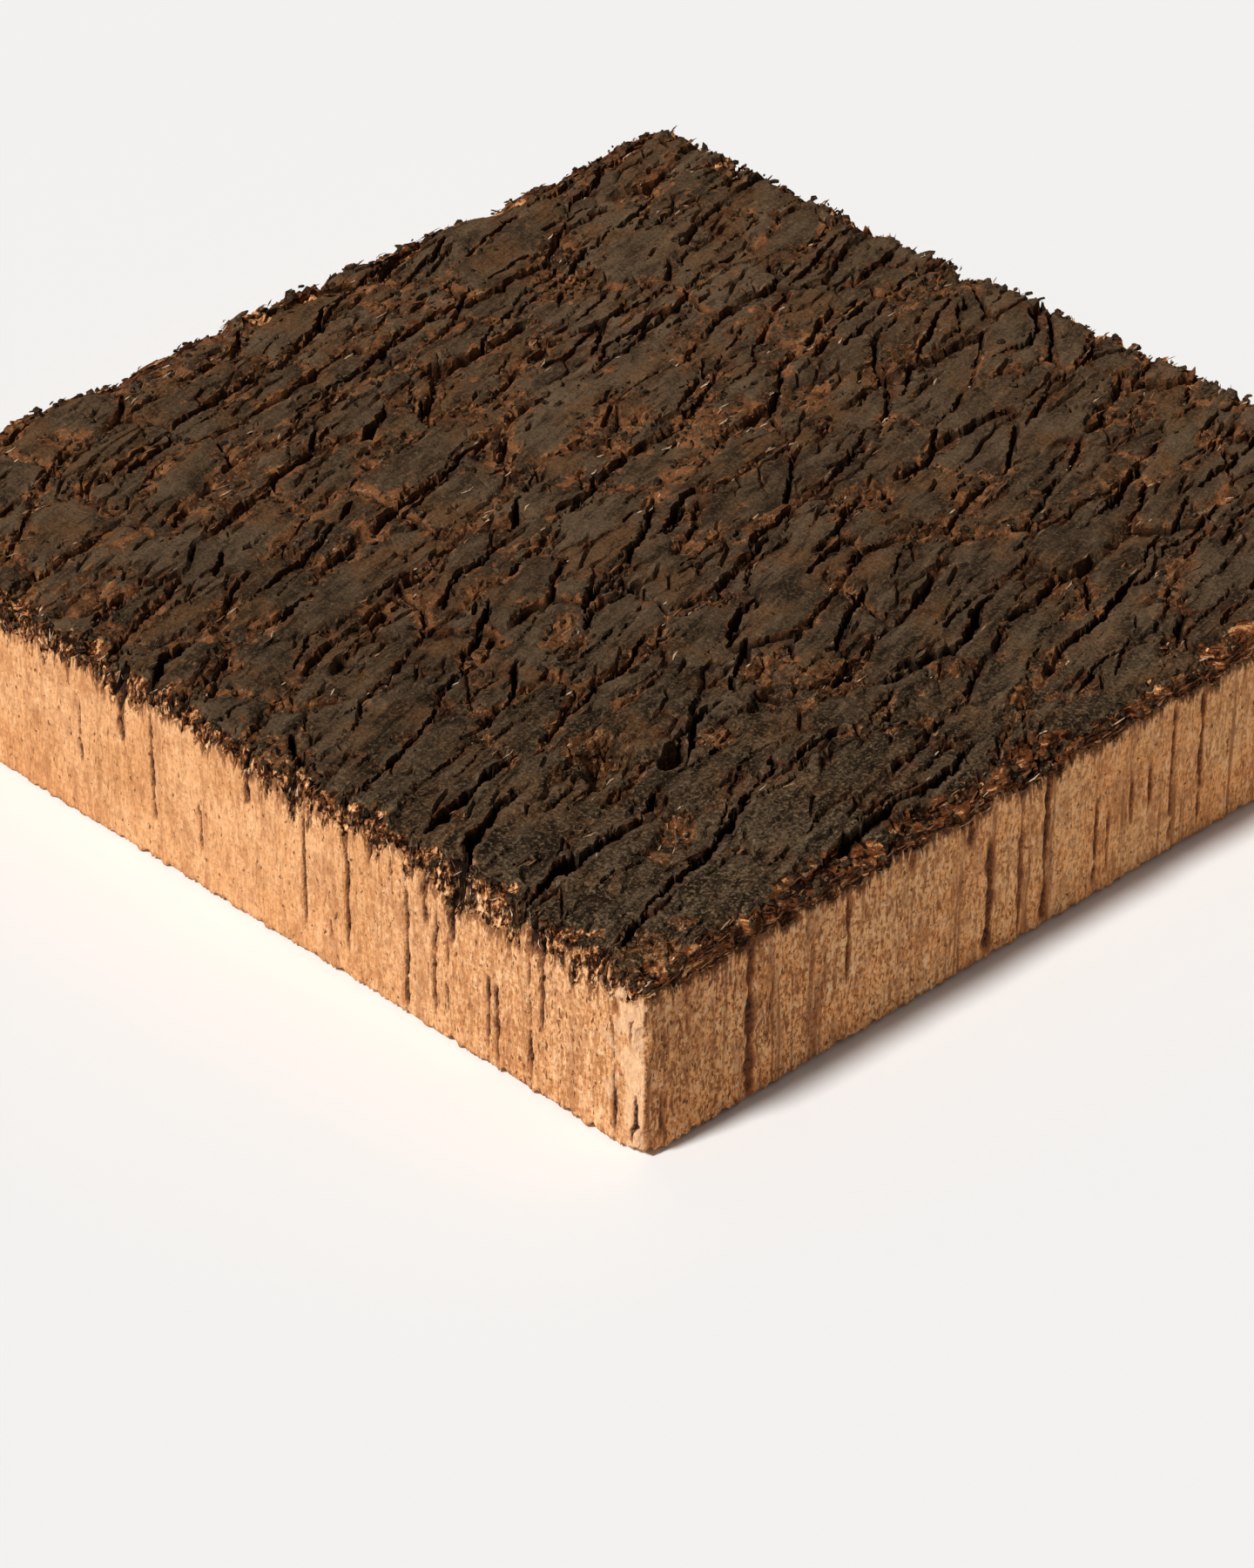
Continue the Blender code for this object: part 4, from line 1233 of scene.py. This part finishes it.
def bark_material():
    s = Shader("bark", 0.95, 0.05)
    slope = math.atan(GRAIN_SLOPE)
    place, grain = s.place(), s.place((6, 1, 1), slope)
    tone, ridge, crack, rust, below = s.fields("tone", "ridge", "crack", "rust", "below")
    bared, warm, halo, slit, long_side = s.fields("edge", "warm", "halo", "slit", "long_side")

    broad = s.noise(place, 12, 3)
    grit = s.noise(place, 0.6, 4, 0.65)
    speck = s.noise(place, 1.5, 3, 0.65)
    fleck = s.noise(place, 0.9, 2, 0.5)
    streak = s.noise(grain, 1.1, 4, 0.6)
    mottle = s.noise(s.place((3, 1, 1), slope), 3.2, 4, 0.6)
    notch = s.noise(s.place((1, 1, 1.8)), 4.0, 3, 0.65)

    # Marks fade with distance from the near corner
    fine = s.band(warm, 0.05, 0.5, 1.0, 0.4)
    soft = s.band(warm, 0.1, 0.8, 1.0, 0.6)

    plate = s.mix(warm, (0.0480, 0.0320, 0.0185), (0.1420, 0.0880, 0.0500))
    deep = s.mix(warm, (0.0280, 0.0180, 0.0100), (0.0760, 0.0450, 0.0240))
    colour = s.coats(
        s.mix(s.band(tone, 0.15, 0.85), deep, plate),
        (broad, 0.46, 0.66, s.band(warm, 0.0, 0.6, 0.35, 0.8), (0.135, 0.060, 0.0230)),
        (mottle, 0.50, 0.39, s.times(soft, 0.9), (0.014, 0.0082, 0.0046)),
        (mottle, 0.54, 0.68, 0.5, (0.150, 0.099, 0.058)),
        (grit, 0.51, 0.63, fine, (0.165, 0.108, 0.057)),
        (grit, 0.465, 0.37, s.times(fine, 0.9), (0.010, 0.0062, 0.0036)),
        (streak, 0.57, 0.72, 0.5, (0.180, 0.105, 0.055)),
        (streak, 0.45, 0.32, s.times(soft, 0.85), (0.010, 0.006, 0.0036)),
        # Painted highlight on the raised bits and painted shade in the hollows, from the ridge field
        (ridge, 0.3, 1.1, 0.4, (0.150, 0.100, 0.060)),
        (ridge, -0.12, -0.8, 0.8, (0.016, 0.0075, 0.0038)),
    )

    # Broken edges of the cracks
    edge = s.coats(
        (0.020, 0.0065, 0.0030),
        (speck, 0.40, 0.58, 1, (0.110, 0.036, 0.0125)),
        (streak, 0.60, 0.72, 1, (0.42, 0.30, 0.195)),
    )
    edge_share = s.times(s.band(halo, 0.10, 0.42), s.band(s.noise(place, 5, 3), 0.40, 0.62), 0.85)
    colour = s.mix(edge_share, colour, edge)

    # Rusty inner bark, smoother far from the near corner
    torn = s.band(s.noise(place, 3.2, 4, 0.65), 0.3, 0.7, -0.5, 0.5)
    bands = s.times(s.band(s.noise(grain, 4, 3), 0.52, 0.70), s.band(warm, 0.3, 0.8, 0.15, 0.5))
    spread = s.plus(rust, torn, bands, s.band(halo, 0.1, 0.6, 0, 0.25))
    rusty = s.mix(s.band(speck, 0.38, 0.62), (0.036, 0.013, 0.0055), (0.230, 0.088, 0.029))
    cloud = s.noise(place, 4.0, 3)
    smooth = s.mix(s.band(cloud, 0.38, 0.62), (0.050, 0.020, 0.0085), (0.270, 0.108, 0.042))
    rusty = s.coats(
        s.mix(s.band(warm, 0.1, 0.7, 0.1, 0.75), rusty, smooth),
        (streak, 0.56, 0.68, fine, (0.46, 0.235, 0.100)),
        (grit, 0.57, 0.67, fine, (0.56, 0.360, 0.200)),
        (grit, 0.46, 0.34, fine, (0.008, 0.004, 0.0025)),
    )
    colour = s.mix(s.band(spread, 0.40, 0.90), colour, rusty)

    # Cut bark on the sides and along their edges: upright fibres at the ends, layers on the long sides
    upright = s.noise(s.place((1, 1, 1.6)), 1.05, 4, 0.66)
    level = s.noise(s.place((9, 9, 1)), 0.7, 4, 0.66)
    fibre = s.mix(long_side, upright, level)
    paler = s.plus(fibre, s.band(below, 0.2, 6.0, 0.0, 0.06), s.times(long_side, -0.04))
    cut_bark = s.coats(
        (0.012, 0.0045, 0.0026),
        (fibre, 0.43, 0.53, 1, (0.165, 0.050, 0.017)),
        (speck, 0.54, 0.64, 0.7, (0.30, 0.105, 0.031)),
        (paler, 0.535, 0.58, 1, (0.66, 0.310, 0.125)),
        (paler, 0.61, 0.68, 1, (0.95, 0.63, 0.36)),
        (notch, 0.48, 0.40, 0.9, (0.018, 0.0068, 0.0036)),
    )
    wander = s.band(s.noise(place, 3.5, 4, 0.6), 0.3, 0.7, -0.45, 0.45)
    cut_share = s.plus(s.band(below, 0.1, 1.0), s.band(bared, 0.05, 0.7), wander)
    colour = s.mix(s.band(cut_share, 0.35, 0.8), colour, cut_bark)

    # The cracks: dark inner bark deepened toward black with their depth, partly its own colour and partly
    # painted shade
    crack_colour_and_shade = s.mix(warm, (0.0100, 0.0054, 0.0030), (0.0260, 0.0130, 0.0065))
    colour = s.coats(
        colour,
        (fleck, 0.60, 0.70, s.times(fine, 0.8), (0.205, 0.137, 0.077)),
        (crack, 0.12, 0.60, s.times(s.band(warm, 0.15, 0.8, 1.0, 0.68), 0.96), crack_colour_and_shade),
        (slit, 0.15, 0.55, 0.95, (0.0080, 0.0040, 0.0024)),
    )

    coarse = s.bump(s.noise(grain, 1.0, 4, 0.6), 0.45, 0.55)
    coarse = s.bump(speck, 0.6, 0.6, coarse)
    s.feed(s.surface.inputs["Roughness"], s.band(grit, 0.3, 0.7, 0.98, 0.82))
    return s.finish(colour, s.bump(grit, 0.35, 0.85, coarse))


def cork_material():
    s = Shader("cork", 0.9, 0.25)
    place, upright = s.place(), s.place((1, 1, 5.0))
    slit, stain, long_side, far = s.fields("slit", "stain", "long_side", "far")

    fibre = s.noise(upright, 0.55, 4, 0.55)
    streak = s.noise(upright, 1.7, 3, 0.6)
    dash = s.noise(s.place((1, 1, 2.8)), 0.85, 3, 0.55)
    grains = s.noise(s.place((1, 1, 1.5)), 0.6, 3, 0.6)
    run = s.noise(s.place((1, 1, 25)), 2.2, 3, 0.6)
    blotch = s.noise(s.place((1, 1, 1.6)), 3.4, 3, 0.6)
    tick = s.noise(s.place((1, 1, 2.6)), 0.75, 2, 0.5)
    layer = s.noise(s.place((5, 5, 1)), 0.8, 3, 0.6)
    speck = s.noise(s.place((1, 1, 1.6)), 0.9, 3, 0.55)
    broad = s.noise(place, 14, 3)

    # How strong the fine marks are: less so away from the near corner, more so on the long sides
    long_calm = s.times(s.band(far, 0.15, 0.8, 1.0, 0.65), long_side)
    calm = s.sums("MAXIMUM", s.band(far, 0.1, 0.6, 0.75, 0.35), long_calm)
    patch = s.times(s.band(s.noise(place, 9, 3, 0.6), 0.38, 0.60, 0.35, 1.0), calm)
    dashes = s.times(patch, s.band(long_side, 0.0, 1.0, 1.0, 0.55))
    runs = s.plus(0.25, s.times(long_side, 0.45))

    # The ends and the long sides take their own colours, partly for the cut's own look and partly as
    # painted light, set for how brightly each face is lit
    end = s.mix(s.band(broad, 0.38, 0.66), (0.76, 0.360, 0.140), (0.88, 0.455, 0.205))
    long = s.mix(s.band(broad, 0.38, 0.66), (1.0, 0.425, 0.135), (1.0, 0.500, 0.190))
    dark_fibre = s.mix(long_side, (0.42, 0.155, 0.050), (0.30, 0.098, 0.031))
    stained = s.plus(stain, s.band(fibre, 0.35, 0.65, 0.45, -0.45))
    colour = s.coats(
        s.mix(long_side, end, long),
        (fibre, 0.50, 0.36, patch, dark_fibre),
        (fibre, 0.53, 0.68, s.times(calm, 0.85), (1.0, 0.70, 0.42)),
        (dash, 0.46, 0.36, dashes, dark_fibre),
        (grains, 0.50, 0.37, s.times(calm, 0.9), dark_fibre),
        (grains, 0.53, 0.64, s.times(calm, 0.6), (1.0, 0.68, 0.40)),
        (streak, 0.48, 0.34, 0.4, (0.42, 0.16, 0.055)),
        (run, 0.45, 0.33, runs, (0.25, 0.082, 0.028)),
        (blotch, 0.47, 0.36, 0.42, (0.42, 0.165, 0.058)),
        (tick, 0.37, 0.32, s.band(far, 0.15, 0.5, 0.9, 0.2), (0.16, 0.052, 0.018)),
        (layer, 0.46, 0.34, 0.3, (0.38, 0.145, 0.050)),
        (speck, 0.38, 0.31, 0.9, (0.13, 0.044, 0.015)),
        (stained, 0.35, 0.85, 0.85, (0.20, 0.075, 0.026)),
    )
    # Painted shade: the long side is darkened toward the near corner
    painted_shade_near_corner = s.times(s.band(far, 0.0, 0.45, 0.5, 0.0), long_side)
    colour = s.mix(painted_shade_near_corner, colour, (0.74, 0.62, 0.50), "MULTIPLY")

    # The pale chipped corner, and the slits, red-brown at their rims and darker inside
    ragged = s.plus(far, s.band(blotch, 0.35, 0.65, -0.035, 0.035))
    frayed = s.plus(slit, s.times(slit, s.band(grains, 0.38, 0.62, -0.4, 0.5)))
    slit_rim = s.mix(long_side, (0.210, 0.072, 0.026), (0.38, 0.125, 0.040))
    slit_core = s.mix(long_side, (0.032, 0.0110, 0.0048), (0.150, 0.048, 0.0165))
    colour = s.coats(
        colour,
        (ragged, 0.055, 0.02, s.band(long_side, 1.0, 0.0, 0, 0.5), (1.0, 0.64, 0.38)),
        (frayed, 0.03, 0.25, 0.85, slit_rim),
        (frayed, 0.22, 0.60, 0.95, slit_core),
        (frayed, 0.85, 1.25, 0.9, (0.026, 0.0095, 0.0045)),
    )

    first = s.bump(s.noise(upright, 1.5, 4, 0.6), 1.0, 0.6)
    first = s.bump(grains, 0.5, 0.8, first)
    return s.finish(colour, s.bump(fibre, 0.35, 0.8, first))


def fibre_material():
    s = Shader("fibres", 0.75, 0.3)
    (tone,) = s.fields("tone")
    colour = s.coats(
        (0.014, 0.006, 0.0034),
        (tone, 0.0, 0.4, 1, (0.11, 0.040, 0.014)),
        (tone, 0.45, 0.80, 1, (0.30, 0.125, 0.048)),
        (tone, 0.82, 0.96, 1, (0.72, 0.52, 0.34)),
        (s.noise(s.place(), 0.8, 3, 0.6), 0.5, 0.3, 0.7, (0.05, 0.022, 0.010)),
    )
    return s.finish(colour, s.bump(s.noise(s.place(), 0.3, 3), 0.1, 0.6))


def chip_material():
    s = Shader("chips", 0.95, 0.05)
    (tone,) = s.fields("tone")
    grit = s.noise(s.place(), 0.6, 4, 0.7)
    colour = s.coats(
        (0.030, 0.0190, 0.0115),
        (tone, 0.2, 0.8, 1, (0.080, 0.045, 0.022)),
        (tone, 0.8, 1.0, 1, (0.15, 0.060, 0.022)),
        (grit, 0.53, 0.70, 1, (0.24, 0.15, 0.085)),
        (grit, 0.46, 0.32, 1, (0.007, 0.004, 0.0028)),
    )
    return s.finish(colour, s.bump(grit, 0.5, 1.0))


def floor_material():
    s = Shader("floor", 0.85, 0.2)
    shade = s.noise(s.place(), FLOOR_SHADE_SIZE, 2)
    s.feed(s.surface.inputs["Base Color"], s.mix(shade, (0.955, 0.96, 0.965), (0.965, 0.97, 0.975)))
    return s.material


# Room, light and camera


def make_floor():
    corners = [(FLOOR_HALF * x, FLOOR_HALF * y, 0) for x, y in ((-1, -1), (1, -1), (1, 1), (-1, 1))]
    mesh = bpy.data.meshes.new("floor")
    mesh.from_pydata(corners, [], [(0, 1, 2, 3)])
    floor = bpy.data.objects.new("floor", mesh)
    bpy.context.scene.collection.objects.link(floor)
    mesh.materials.append(floor_material())
    return floor


def light_room():
    """A pale room and one broad sun from the left."""
    world = bpy.data.worlds.new("room")
    world.use_nodes = True
    walls = world.node_tree.nodes["Background"]
    walls.inputs["Color"].default_value = (1.0, 1.0, 1.0, 1.0)
    walls.inputs["Strength"].default_value = ROOM_LIGHT
    bpy.context.scene.world = world

    lamp = bpy.data.lights.new("key", "SUN")
    lamp.energy = SUN_STRENGTH
    lamp.angle = math.radians(SUN_ANGLE)
    lamp.color = SUN_COLOUR
    sun = bpy.data.objects.new("key", lamp)
    sun.rotation_mode = "QUATERNION"
    sun.rotation_quaternion = Vector(SUN_TOWARD).to_track_quat("Z", "Y")
    bpy.context.scene.collection.objects.link(sun)
    bpy.context.scene.view_settings.view_transform = "Standard"
    bpy.context.scene.view_settings.look = "None"


def place_camera():
    lens = bpy.data.cameras.new("camera")
    lens.lens = CAMERA_LENS
    lens.clip_start = 0.05
    lens.clip_end = 20.0
    camera = bpy.data.objects.new("camera", lens)
    a, e = math.radians(CAMERA_BEARING), math.radians(CAMERA_ELEVATION)
    back = Vector((math.sin(a) * math.cos(e), -math.cos(a) * math.cos(e), math.sin(e)))
    right = Vector((math.cos(a), math.sin(a), 0))
    up = back.cross(right)
    turn = Matrix((right, up, back)).transposed().to_4x4()
    camera.matrix_world = Matrix.Translation(CAMERA_PLACE) @ turn
    bpy.context.scene.collection.objects.link(camera)
    bpy.context.scene.camera = camera


def finish_piece(piece, material):
    piece.data.materials.clear()
    piece.data.materials.append(material)
    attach(piece, "root")
    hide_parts("cork_slab")


def build():
    surface = bark_surface()
    finish_piece(make_bark(surface), bark_material())
    finish_piece(make_cork(surface), cork_material())
    finish_piece(make_fibres(surface), fibre_material())
    finish_piece(make_chips(surface), chip_material())
    make_floor()
    light_room()
    place_camera()


build()
